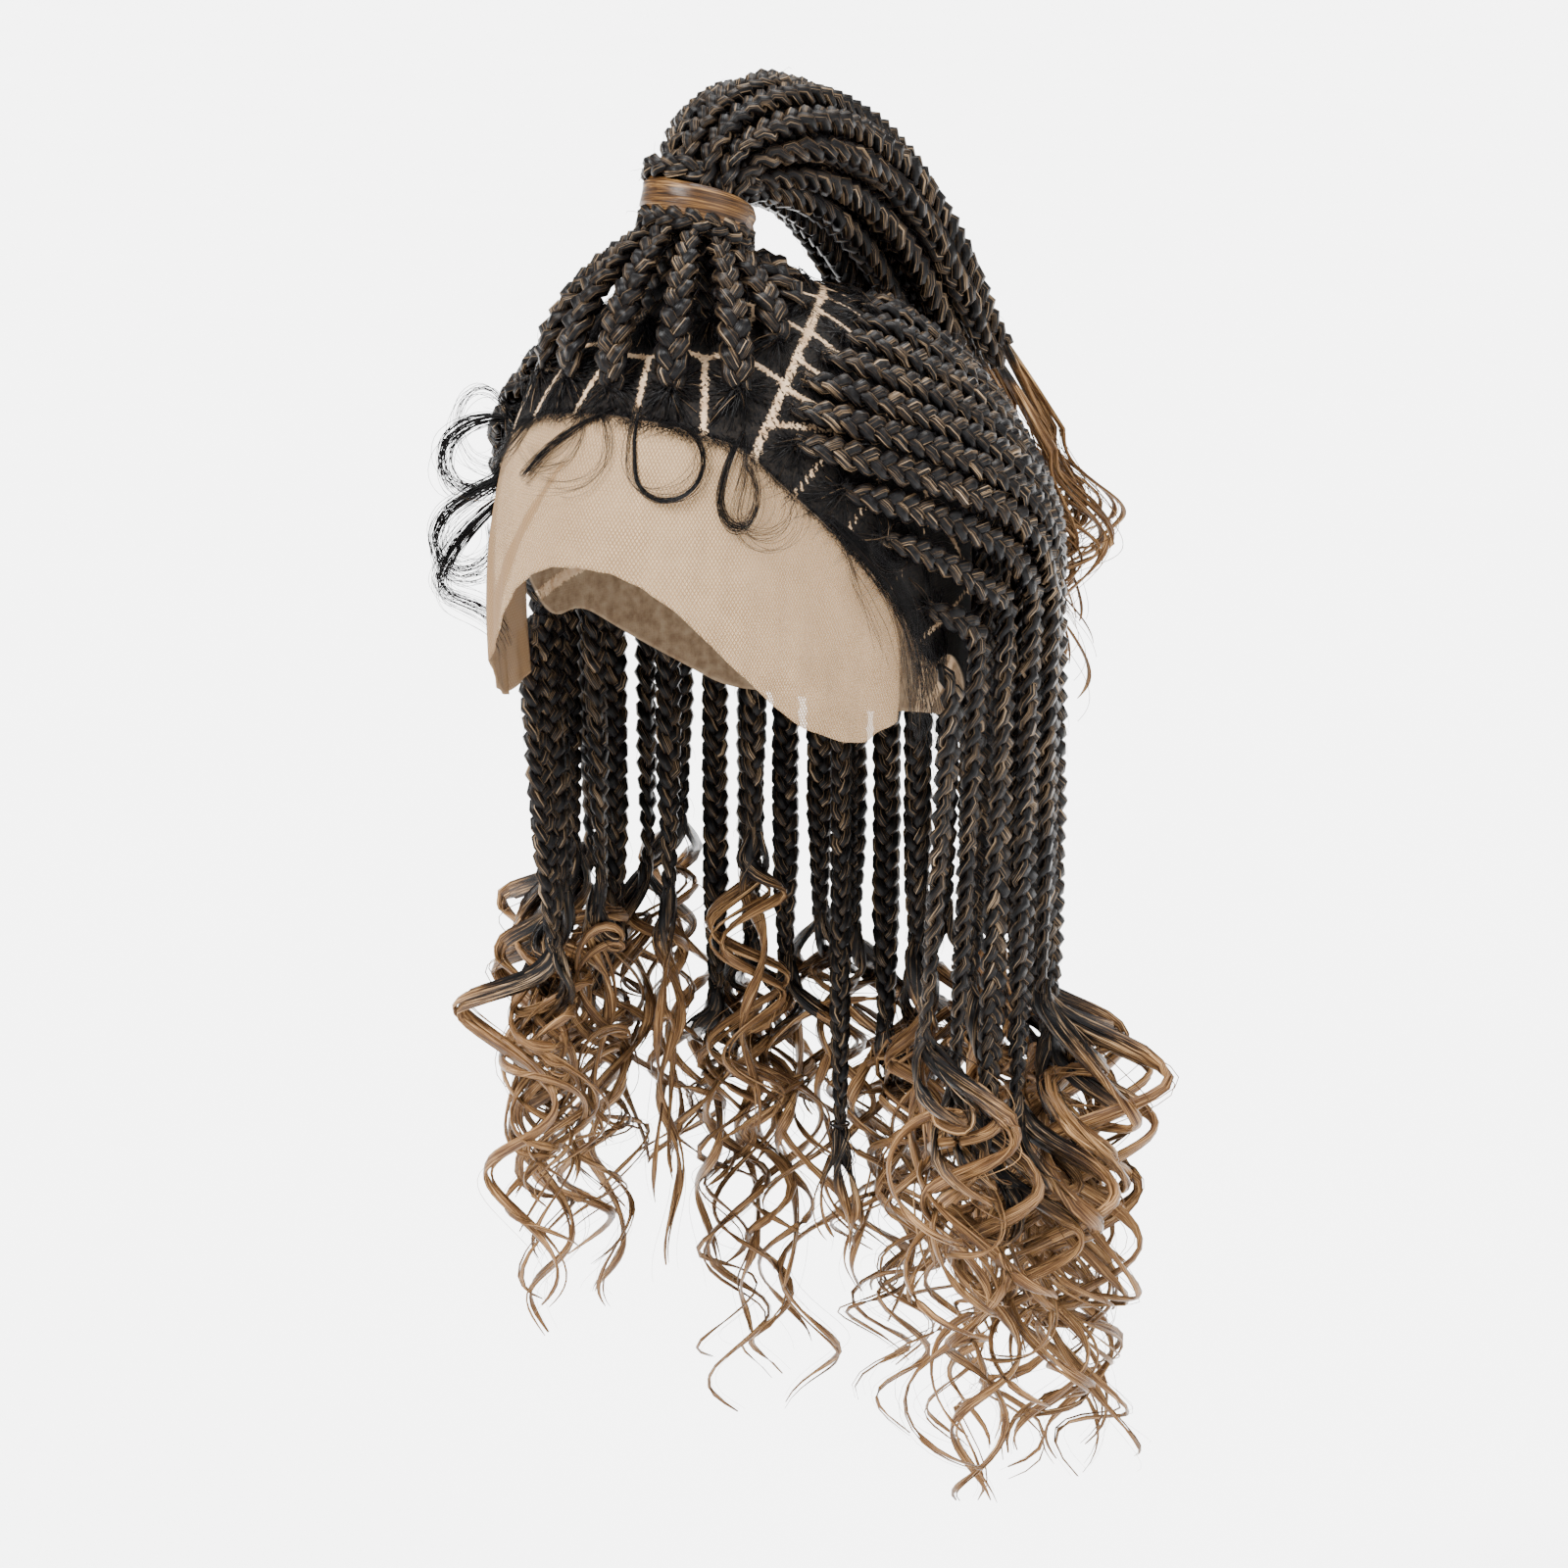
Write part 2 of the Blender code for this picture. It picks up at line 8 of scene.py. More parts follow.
import bpy
import numpy as np
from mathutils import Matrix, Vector


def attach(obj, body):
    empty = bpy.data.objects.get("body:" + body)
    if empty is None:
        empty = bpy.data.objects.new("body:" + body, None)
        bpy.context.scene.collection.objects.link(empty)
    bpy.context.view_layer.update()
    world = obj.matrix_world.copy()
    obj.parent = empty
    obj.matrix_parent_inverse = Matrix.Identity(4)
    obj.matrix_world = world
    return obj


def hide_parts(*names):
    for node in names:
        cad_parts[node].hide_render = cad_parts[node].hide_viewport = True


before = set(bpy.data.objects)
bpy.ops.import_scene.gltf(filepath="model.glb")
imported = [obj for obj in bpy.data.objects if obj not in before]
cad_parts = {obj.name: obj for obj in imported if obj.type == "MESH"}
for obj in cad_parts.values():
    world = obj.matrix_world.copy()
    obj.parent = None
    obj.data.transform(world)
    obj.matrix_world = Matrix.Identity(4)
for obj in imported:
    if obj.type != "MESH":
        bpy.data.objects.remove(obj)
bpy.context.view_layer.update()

# ------------------------------------------------------------------ camera, floor and light
# The wig hangs in front of a plain white ground, seen from its left front and a little above.
CAMERA_AZIMUTH, CAMERA_ELEVATION = np.radians(31.0), np.radians(14.0)
CAMERA_DISTANCE = 1.5
CAMERA_PIVOT = np.array([0.0, 0.0, -0.178])
CAMERA_SHIFT_RIGHT = 0.0176
FOCAL_PIXELS, PHOTO_PIXELS, SENSOR_MM = 4350.0, 1600.0, 36.0
FLOOR_LEVEL = -0.74

to_right = np.array([np.cos(CAMERA_AZIMUTH), np.sin(CAMERA_AZIMUTH), 0.0])
to_camera = np.array(
    [
        np.sin(CAMERA_AZIMUTH) * np.cos(CAMERA_ELEVATION),
        -np.cos(CAMERA_AZIMUTH) * np.cos(CAMERA_ELEVATION),
        np.sin(CAMERA_ELEVATION),
    ]
)
camera_data = bpy.data.cameras.new("camera")
camera_data.sensor_width = SENSOR_MM
camera_data.lens = FOCAL_PIXELS / PHOTO_PIXELS * SENSOR_MM
camera = bpy.data.objects.new("camera", camera_data)
camera.location = CAMERA_PIVOT + CAMERA_DISTANCE * to_camera + CAMERA_SHIFT_RIGHT * to_right
camera.rotation_mode = "QUATERNION"
camera.rotation_quaternion = Vector(-to_camera).to_track_quat("-Z", "Y")
bpy.context.scene.collection.objects.link(camera)
bpy.context.scene.camera = camera


def soft_sun(name, azimuth, elevation, strength, spread):
    """Light from a compass direction, as even everywhere as a large lamp far away."""
    data = bpy.data.lights.new(name, "SUN")
    data.energy, data.angle = strength, np.radians(spread)
    turn, rise = np.radians(azimuth), np.radians(elevation)
    source = (np.sin(turn) * np.cos(rise), -np.cos(turn) * np.cos(rise), np.sin(rise))
    light = bpy.data.objects.new(name, data)
    light.rotation_mode = "QUATERNION"
    light.rotation_quaternion = Vector(source).to_track_quat("Z", "Y")
    bpy.context.scene.collection.objects.link(light)


soft_sun("key_light", -18, 50, 14.0, 22)
soft_sun("fill_light", 78, 38, 5.0, 50)
soft_sun("top_light", 190, 62, 6.0, 30)

world = bpy.data.worlds.new("white_studio")
world.use_nodes = True
world.node_tree.nodes["Background"].inputs["Color"].default_value = (1, 1, 1, 1)
world.node_tree.nodes["Background"].inputs["Strength"].default_value = 0.9
bpy.context.scene.world = world


class Link:
    """A shader socket in a sum. Each operator adds one Math node and gives its output back."""

    def __init__(self, finish, socket):
        self.finish, self.socket = finish, socket

    def math(self, operation, *terms):
        inputs = dict(enumerate(terms))
        return self.finish.node("ShaderNodeMath", {"operation": operation}, inputs)

    def __add__(self, other):
        return self.math("ADD", self, other)

    def __sub__(self, other):
        return self.math("SUBTRACT", self, other)

    def __rsub__(self, other):
        return self.math("SUBTRACT", other, self)

    def __mul__(self, other):
        return self.math("MULTIPLY", self, other)

    def __pow__(self, other):
        return self.math("POWER", self, other)

    __radd__, __rmul__ = __add__, __mul__

    def fraction(self):
        return self.math("FRACT", self)

    def size(self):
        return self.math("ABSOLUTE", self)

    def larger(self, other):
        return self.math("MAXIMUM", self, other)

    def step(self, low, high):
        """0 below low, 1 above high, and smooth between."""
        settings = {"interpolation_type": "SMOOTHSTEP"}
        return self.finish.node("ShaderNodeMapRange", settings, {0: self, 1: low, 2: high})


class Finish:
    """A material with one principled shader, and short ways to add nodes to it."""

    def __init__(self, name, **constants):
        self.material = bpy.data.materials.new(name)
        self.material.use_nodes = True
        self.tree = self.material.node_tree
        self.shader = self.tree.nodes["Principled BSDF"]
        for socket, value in constants.items():
            self.shader.inputs[socket.replace("_", " ")].default_value = value

    def node(self, kind, settings=None, inputs=None, output=0):
        """A node of a kind: its settings first, then the values or links of its sockets."""
        made = self.tree.nodes.new(kind)
        for key, value in (settings or {}).items():
            if key == "stops":
                ramp = made.color_ramp.elements
                while len(ramp) < len(value):
                    ramp.new(0.5)
                for stop, (place, colour) in zip(ramp, value):
                    stop.position, stop.color = place, (*colour, 1.0)
            else:
                setattr(made, key, value)
        for key, value in (inputs or {}).items():
            if isinstance(value, Link):
                self.tree.links.new(value.socket, made.inputs[key])
            else:
                made.inputs[key].default_value = value
        return Link(self, made.outputs[output])

    def attribute(self, name, output="Fac"):
        return self.node("ShaderNodeAttribute", {"attribute_name": name}, output=output)

    def stretched(self, vector, scale):
        """A vector with each part multiplied by its own scale."""
        return self.node("ShaderNodeVectorMath", {"operation": "MULTIPLY"}, {0: vector, 1: scale})

    def noise(self, vector, scale, detail=2.0, roughness=0.5):
        inputs = {"Vector": vector, "Scale": scale, "Detail": detail, "Roughness": roughness}
        return self.node("ShaderNodeTexNoise", inputs=inputs)

    def ramp(self, share, stops):
        return self.node("ShaderNodeValToRGB", {"stops": stops}, {0: share})

    def mix(self, share, a, b):
        """Colour a where share is 0 and colour b where it is 1."""
        a = a if isinstance(a, Link) else (*a, 1.0)
        b = b if isinstance(b, Link) else (*b, 1.0)
        return self.node("ShaderNodeMix", {"data_type": "RGBA"}, {0: share, 6: a, 7: b}, 2)

    def bump(self, height, strength, distance):
        inputs = {"Strength": strength, "Distance": distance, "Height": height}
        return self.node("ShaderNodeBump", inputs=inputs)

    def wire(self, **links):
        for socket, value in links.items():
            self.tree.links.new(value.socket, self.shader.inputs[socket.replace("_", " ")])


floor_finish = Finish("white_floor", Roughness=0.9)
floor_spot = floor_finish.node("ShaderNodeTexCoord", output="Object")
floor_grain = floor_finish.noise(floor_spot, 3.0)
FLOOR_TONES = [(0, (0.90, 0.90, 0.90)), (1, (0.93, 0.93, 0.93))]
floor_finish.wire(Base_Color=floor_finish.ramp(floor_grain, FLOOR_TONES))


def add_mesh(name, points, faces, finish, attributes=None):
    """An object from arrays. faces is a list of index arrays, each with a row for every face."""
    points = np.asarray(points, np.float32).reshape(-1, 3)
    corners = np.concatenate([rows.ravel() for rows in faces])
    counts = np.concatenate([np.full(len(rows), rows.shape[1]) for rows in faces])
    mesh = bpy.data.meshes.new(name)
    mesh.vertices.add(len(points))
    mesh.vertices.foreach_set("co", points.ravel())
    mesh.loops.add(len(corners))
    mesh.loops.foreach_set("vertex_index", corners.astype(np.int32))
    mesh.polygons.add(len(counts))
    starts = np.concatenate([[0], np.cumsum(counts)[:-1]])
    mesh.polygons.foreach_set("loop_start", starts.astype(np.int32))
    mesh.polygons.foreach_set("use_smooth", np.ones(len(counts), bool))
    for key, values in (attributes or {}).items():
        values = np.asarray(values, np.float32)
        kind, field = ("FLOAT_VECTOR", "vector") if values.ndim == 2 else ("FLOAT", "value")
        mesh.attributes.new(key, kind, "POINT").data.foreach_set(field, values.ravel())
    mesh.update(calc_edges=True)
    mesh.materials.append(finish.material)
    made = bpy.data.objects.new(name, mesh)
    bpy.context.scene.collection.objects.link(made)
    return made


FLOOR_HALF = 30.0
floor = add_mesh(
    "floor",
    [(x * FLOOR_HALF, y * FLOOR_HALF, FLOOR_LEVEL) for x, y in ((-1, -1), (1, -1), (1, 1), (-1, 1))],
    [np.array([[0, 1, 2, 3]])],
    floor_finish,
)

# ------------------------------------------------------------------ lace cap
# A dome of cream lace, machine sewn to fit the head from the hairline to the nape. Hair is knotted into it
# in square boxes, which leave bare lines of lace between them and a wider bare parting each side.
HEAD_WIDTH, HEAD_LENGTH, CROWN_HEIGHT = 0.154, 0.192, 0.100
HEAD_SQUARENESS = 2.3
NAPE_DROP, NAPE_TAPER = 0.080, 0.07
CAP_WALL = 0.0012
CAP_COLUMNS, CAP_ROWS = 230, 84
# azimuth in degrees, and drop below the crown as a share of CROWN_HEIGHT
CAP_EDGE = np.array(
    [(-90, 0.36), (-70, 0.38), (-50, 0.45), (-30, 0.72), (-10, 1.04)]
    + [(0, 1.28), (10, 1.24), (30, 1.44), (50, 1.62), (90, 1.70)]
)


def smooth(share):
    """0 to 1 with level ends: 3 s squared less 2 s cubed."""
    share = np.clip(share, 0.0, 1.0)
    return share * share * (3 - 2 * share)


def blend(a, b, share):
    return a + (b - a) * share


def unit(vectors):
    return vectors / np.maximum(np.linalg.norm(vectors, axis=-1, keepdims=True), 1e-12)


def folded(azimuth):
    """An azimuth from -90 to 90: the right side of the head is read as its mirror image."""
    azimuth = (np.asarray(azimuth, float) + 90) % 360 - 90
    return np.where(azimuth > 90, 180 - azimuth, azimuth)


def eased(table, azimuth):
    """A table's drop at an azimuth: straight between its rows, then averaged over 9 degrees."""
    turns = np.linspace(-4.5, 4.5, 7)
    at = folded(np.asarray(azimuth, float)[..., None] + turns)
    return np.interp(at, table[:, 0], table[:, 1]).mean(-1)


def level_at(drop):
    """The level of a drop below the crown, given as a share of CROWN_HEIGHT."""
    drop = np.asarray(drop, float)
    upper = np.arccos(np.clip(1 - drop, 0, 1) ** (HEAD_SQUARENESS / 2)) / (np.pi / 2)
    return np.where(drop <= 1, upper, 1 + (drop - 1) * CROWN_HEIGHT / NAPE_DROP)


def head_profile(level):
    """Share of the widest radius and height: a superellipse down to level 1, a slow taper below."""
    angle, below = np.clip(level, 0, 1) * np.pi / 2, np.maximum(np.asarray(level) - 1, 0)
    power = 2 / HEAD_SQUARENESS
    share = np.sin(angle) ** power - NAPE_TAPER * below**2
    height = -CROWN_HEIGHT * (1 - np.clip(np.cos(angle), 0, 1) ** power) - NAPE_DROP * below
    return share, height


def head_normal(azimuth, level):
    """The head's outward direction: the gradient of the superellipsoid, or of the taper."""
    turn, below = np.radians(azimuth), np.maximum(np.asarray(level) - 1, 0)
    share, height = head_profile(np.minimum(level, 1))
    out = np.where(below > 0, 1.0, share ** (HEAD_SQUARENESS - 1))
    rise = np.clip(1 + height / CROWN_HEIGHT, 0, 1) ** (HEAD_SQUARENESS - 1) / CROWN_HEIGHT
    slope = 2 * NAPE_TAPER * below / NAPE_DROP
    parts = (out * np.cos(turn) / (HEAD_WIDTH / 2), out * np.sin(turn) / (HEAD_LENGTH / 2), rise - slope)
    return unit(np.stack(np.broadcast_arrays(*parts), -1))


def head_point(azimuth, level, off=0.0):
    """Points that stand off the head by a distance, at azimuths in degrees and levels."""
    turn = np.radians(azimuth)
    share, height = head_profile(level)
    x, y = HEAD_WIDTH / 2 * share * np.cos(turn), HEAD_LENGTH / 2 * share * np.sin(turn)
    points = np.stack(np.broadcast_arrays(x, y, height), -1)
    return points + np.asarray(off)[..., None] * head_normal(azimuth, level)


def plan_to_head(across, along):
    """Azimuth and level of points of the upper head, from shares of its half width and length."""
    angle = np.arcsin(np.minimum(1.0, np.hypot(across, along) ** (HEAD_SQUARENESS / 2)))
    return np.degrees(np.arctan2(along, across)), angle / (np.pi / 2)


def grid_faces(rows, columns, closed, first=0):
    """Quads between neighbouring points of a rows by columns grid, whose rows may close on themselves."""
    index = first + np.arange(rows * columns).reshape(rows, columns)
    ahead = np.roll(index, -1, axis=1) if closed else index[:, 1:]
    here = index if closed else index[:, :-1]
    return np.stack([here[:-1], here[1:], ahead[1:], ahead[:-1]], -1).reshape(-1, 4)


# Knots where the braids start, in plan as shares of half the head's width and length, from the face back
FALL_ROOTS = np.array(
    [(-1, 1.22), (-8, 1.02), (-22, 0.87), (-32, 0.765), (-43, 0.645), (-43, 0.555), (-38, 0.475)]
    + [(-29, 0.405), (-16, 0.345), (0, 0.300), (20, 0.265), (40, 0.250), (60, 0.300), (78, 0.255)]
)
OUTER_ROOTS = np.array(
    [(0.00, -0.77, -90), (0.25, -0.72, -57), (0.48, -0.60, -25), (0.50, -0.36, 8), (0.45, -0.12, 41)]
    + [(0.23, 0.12, 74), (-0.23, 0.12, 106), (-0.45, -0.12, 139), (-0.50, -0.36, 172)]
    + [(-0.48, -0.60, 205), (-0.25, -0.72, 237)]
)
INNER_ROOTS = np.array(
    [(0.00, -0.54, -90), (0.25, -0.45, -18), (0.11, -0.155, 54), (-0.11, -0.155, 126), (-0.25, -0.45, 198)]
)
UNDER_BRAIDS, UNDER_LEVEL, UNDER_FIRST_AZIMUTH = 8, 0.76, 19.0

# ------------------------------------------------------------------ outer and under braids
# Box braids of black-brown synthetic hair with tan strands, each of three strands plaited flat. They start at
# the boxes, run down the cap, hang free and end in loose hair set in wide curls that fades to honey brown.
BRAID_WIDTH, BRAID_THICKNESS, TOP_BRAID_WIDTH = 0.0106, 0.0073, 0.0124
SIDE_STANDOFF, PILED_STANDOFF, BACK_STANDOFF, PILED_AZIMUTH = 0.0115, 0.0310, 0.0250, 30.0
UNDER_STANDOFF, FRONT_DRIFT = 0.0090, 0.0100
HANG_LEVEL, EAR_EASE, BACK_EASE, EASE_AZIMUTH = 1.08, 2.0, 1.45, 50.0
CURL_PITCH, CURL_REACH, CURL_SWAY, CURL_FADE, UNDER_REACH = 0.066, 0.0230, 0.0060, 0.55, 0.15
PLAIT_DROP, UNDER_PLAIT_DROP, CURL_LENGTH = 0.275, 0.235, 0.130
LOWEST = -0.468
RIGHT_SIDE_SHORTENING = 0.86
PLAIT_SHARES = [0.94, 1.02, 0.98, 1.06, 0.92, 1.00, 1.10, 0.96]
CURL_SHARES = [0.95, 1.20, 0.85, 1.05, 1.35, 0.90, 1.10]
REACH_SHARES = [1.0, 0.85, 1.1, 0.95, 1.15]
PLAIT_CYCLE = 0.0200
STRAND_SIDES, STRAND_STEP = 6, 0.0022
ROOT_SKIP = 0.0095

hair = np.random.default_rng(28)

braid_finish = Finish("braid_hair", Roughness=0.35, Specular_IOR_Level=0.075)
grain = braid_finish.attribute("grain", "Vector")
fade = braid_finish.attribute("fade")
fibres = braid_finish.noise(braid_finish.stretched(grain, (2300, 2300, 55)), 1.0, 3.0, 0.65)
clumps = braid_finish.noise(braid_finish.stretched(grain, (420, 420, 26)), 1.0, 1.0)
streak = fibres * 0.76 + clumps * 0.24 + 0.05 * fade.math("MINIMUM", fade, 0)
DARK_TONES = [
    (0.0, (0.0006, 0.0006, 0.0008)),
    (0.52, (0.0016, 0.0014, 0.0015)),
    (0.56, (0.011, 0.0065, 0.0036)),
    (0.60, (0.080, 0.052, 0.028)),
    (0.68, (0.24, 0.170, 0.105)),
]
HONEY_TONES = [
    (0.0, (0.008, 0.0034, 0.0013)),
    (0.42, (0.032, 0.0140, 0.0055)),
    (0.50, (0.070, 0.034, 0.0130)),
    (0.57, (0.17, 0.092, 0.038)),
    (0.68, (0.40, 0.25, 0.120)),
]
dark_tone, brown_tone = braid_finish.ramp(streak, DARK_TONES), braid_finish.ramp(streak, HONEY_TONES)
braid_finish.wire(
    Base_Color=braid_finish.mix((fade + (streak - 0.5) * 0.8).step(0.30, 0.70), dark_tone, brown_tone),
    Roughness=0.20 + 0.24 * clumps,
    Normal=braid_finish.bump(streak, 0.75, 0.0005),
)


def lengths_along(points):
    """Length of a path from its first point to each of its points."""
    steps = np.linalg.norm(np.diff(points, axis=0), axis=1)
    return np.concatenate([[0], np.cumsum(steps)])


def along_path(points, spacing):
    """A path with its points evenly spaced by length and its corners rounded over a few of them. What
    stands beside x, y and z in a row is carried along."""
    lengths = lengths_along(points[:, :3])
    count = max(6, int(lengths[-1] / spacing) + 1)
    at = np.linspace(0, lengths[-1], count)
    even = np.stack([np.interp(at, lengths, points[:, k]) for k in range(points.shape[1])], -1)
    for _ in range(3):
        even[1:-1] = (even[:-2] + 2 * even[1:-1] + even[2:]) / 4
    return even


def tubes(paths, out, wide, thick, sides, grain_scale=1.0):
    """Closed tubes along paths: at each point an ellipse stands square to the path, wide across it and
    thick along out. Gives points, faces and, for the grain, each point unrolled along a straight tube."""
    count, steps, _ = paths.shape
    ahead = unit(np.gradient(paths, axis=1))
    side = unit(np.cross(ahead, np.broadcast_to(out, paths.shape)))
    up = np.cross(side, ahead)
    turn = 2 * np.pi * np.arange(sides) / sides
    wide = np.broadcast_to(wide, (count, steps))[..., None, None]
    thick = np.broadcast_to(thick, (count, steps))[..., None, None]
    c, s = np.cos(turn)[:, None], np.sin(turn)[:, None]
    points = paths[:, :, None] + side[:, :, None] * wide * c + up[:, :, None] * thick * s
    gone = np.linalg.norm(np.diff(paths, axis=1), axis=2).cumsum(1)
    gone = np.concatenate([np.zeros((count, 1)), gone], 1)[..., None] * np.ones(sides)
    flat = np.ones_like(gone)
    round_x, round_y = wide.max() * c[:, 0] * flat, thick.max() * s[:, 0] * flat
    unrolled = np.stack([round_x, round_y, gone], -1) * grain_scale
    unrolled += hair.uniform(-0.5, 0.5, (count, 1, 1, 3))
    index = np.arange(count * steps * sides).reshape(count, steps, sides)
    nxt = np.roll(index, -1, axis=2)
    quads = np.stack([index[:, :-1], index[:, 1:], nxt[:, 1:], nxt[:, :-1]], -1).reshape(-1, 4)
    caps = np.concatenate([index[:, 0], index[:, -1, ::-1]])
    return points.reshape(-1, 3), [quads, caps], unrolled.reshape(-1, 3)


def joined(groups):
    """One set of arrays from several groups of tubes, each with its fade from dark to brown hair."""
    points, faces, grains, fades, first = [], [], [], [], 0
    for (spots, rows, unrolled), fading in groups:
        points.append(spots)
        faces += [each + first for each in rows]
        grains.append(unrolled)
        fades.append(np.broadcast_to(np.ravel(fading), (len(spots),)))
        first += len(spots)
    attributes = {"grain": np.concatenate(grains), "fade": np.concatenate(fades)}
    return np.concatenate(points), faces, attributes


def plait(path, out, half_width, half_thickness, turned):
    """Three strands round a path. Strand k lies sin(w + 120k) of the width to the side and sin 2(w + 120k)
    of the thickness out, where w grows by a turn in each PLAIT_CYCLE of length."""
    ahead = unit(np.gradient(path, axis=0))
    side = unit(np.cross(ahead, out))
    up = np.cross(side, ahead)
    c, s = np.cos(turned)[:, None], np.sin(turned)[:, None]
    side, up = side * c + up * s, up * c - side * s
    gone = lengths_along(path)
    cycle = PLAIT_CYCLE * hair.uniform(0.93, 1.07)
    phase = 2 * np.pi * gone / cycle + hair.uniform(0, 6.28)
    phase = phase + 2 * np.pi / 3 * np.arange(3)[:, None]
    loose = 1 + 0.06 * np.sin(gone * 210 + hair.uniform(0, 6, (3, 1)))
    across = (0.547 * half_width * np.sin(phase) * loose)[..., None]
    depth = (0.52 * half_thickness * np.sin(2 * phase))[..., None]
    strands = path + side * across + up * depth
    wide = 0.453 * half_width * (1.02 + 0.12 * np.abs(np.sin(phase)))
    return tubes(strands, up, wide, 0.49 * half_thickness * loose, STRAND_SIDES)


def fuzz(path, out, reach, count):
    """Short hairs that have worked loose from a plait: each leaves its side and bends back along it."""
    at = hair.integers(2, len(path) - 3, count)
    ahead = unit(np.gradient(path, axis=0))[at]
    around = unit(np.cross(ahead, hair.normal(size=(count, 3))))
    length = hair.uniform(0.004, 0.014, count)[:, None, None]
    share = np.linspace(0, 1, 4)[None, :, None]
    height, bend = hair.uniform(0.15, 1.1, (count, 1, 1)), hair.uniform(0.4, 0.9, (count, 1, 1))
    rise = reach * (0.75 + height * np.sin(share * np.pi * bend))
    paths = path[at][:, None] + ahead[:, None] * share * length + around[:, None] * rise
    thin = 0.00011 * (1 - 0.6 * share[..., 0])
    return tubes(paths, around[:, None], thin, thin, 3, 0.2)


def curls(start, out, length, reach, sway, count, dark_length, longest):
    """Loose ends below a plait. Each swings out by reach (1 - cos t) and to the side by sway sin t as it
    falls, where t grows by a turn in each CURL_PITCH, and the first one keeps to the solid's own course.
    Every lock is a flat ribbon with one narrower ribbon and two single hairs beside it."""
    steps = 52
    share = np.linspace(0, 1, steps)
    first = np.arange(count) == 0
    own = lambda low, high: np.where(first, 1.0, hair.uniform(low, high, count))[:, None]
    other = lambda low, high: np.where(first, 0.0, hair.uniform(low, high, count))[:, None]
    fallen = np.minimum(length * own(0.60, longest), start[2] - LOWEST) * share
    turn = 2 * np.pi * fallen / (CURL_PITCH * own(0.58, 0.95)) + other(-1.6, 1.6) * smooth(share * 2)
    grow = smooth(fallen / CURL_PITCH * 1.7) * (1 - CURL_FADE * share * own(0.0, 0.6))
    swung = other(-1.3, 1.3)
    side = np.cross((0, 0, 1), out)
    outs = out * np.cos(swung) + side * np.sin(swung)
    sides = side * np.cos(swung) - out * np.sin(swung)
    swings = reach * own(0.30, 0.90) * grow * (1 - np.cos(turn)) + other(-0.004, 0.010) * share
    turning = hair.choice([-1, 1], count)[:, None]
    sways = (np.where(first[:, None], sway, 0) + turning * other(0.009, 0.017)) * grow * np.sin(turn)
    loops = other(0.0, 0.014) * grow * np.sin(turn + 1.3) * (1 - 0.4 * share)
    paths = start + outs[:, None] * swings[..., None] + sides[:, None] * sways[..., None]
    paths = paths + (loops - fallen)[..., None] * np.array([0, 0, 1.0])
    paths = paths + hair.uniform(-1, 1, (count, 1, 3)) * 0.0016
    facing = outs[:, None] * np.cos(turn)[..., None]
    facing = facing + sides[:, None] * (turning * np.sin(turn))[..., None]
    facing = unit(facing + np.array([0, 0, 0.35]))
    wide = blend(0.0050, 0.0012, share**0.6) * own(0.55, 0.95) * smooth((1.04 - share) * 9)
    wide = wide * blend(0.45, 1.0, smooth(share * 14))
    fading = fading_of(fallen, dark_length)
    groups = [(tubes(paths, facing, wide, wide * 0.42, 6), np.repeat(fading, 6, axis=1))]
    for copies, apart, half, sides_of_tube in ((1, 0.0022, 0.45, 4), (2, 0.0040, 0.0, 3)):
        beside = np.repeat(paths, copies, axis=0)
        wander = hair.normal(size=(len(beside), 1, 3)) * apart * smooth(share * 2.5 + 0.15)[:, None]
        beside = beside + wander * np.sin(share * hair.uniform(3, 6, (len(beside), 1)) + 1)[..., None]
        thin = np.repeat(wide, copies, axis=0) * half + 0.00024 * (half == 0) * (1.2 - share)
        dark = np.repeat(np.repeat(fading, copies, axis=0), sides_of_tube, axis=1)
        turned, thick = np.repeat(facing, copies, axis=0), thin * (0.6 if half else 1.0)
        groups.append((tubes(beside, turned, thin, thick, sides_of_tube), dark))
    return groups


def fading_of(fallen, dark_length):
    """How brown the hair is at a length below its plait."""
    return smooth((fallen + 0.004) / dark_length)


def fall_standoff(azimuth):
    """Distance from the head to the middle of an outer braid where it hangs: most where they pile up."""
    piled = blend(SIDE_STANDOFF, PILED_STANDOFF, smooth(folded(azimuth) / PILED_AZIMUTH))
    return blend(piled, BACK_STANDOFF, smooth((folded(azimuth) - PILED_AZIMUTH) / (90 - PILED_AZIMUTH)))


def spread_azimuths(first, last, standoff, count):
    """Azimuths spaced evenly by length along the ring where braids hang."""
    degrees = np.linspace(first, last, 91)
    points = head_point(degrees, HANG_LEVEL, standoff(degrees))
    lengths = lengths_along(points)
    return np.interp(np.linspace(0, lengths[-1], count), lengths, degrees)


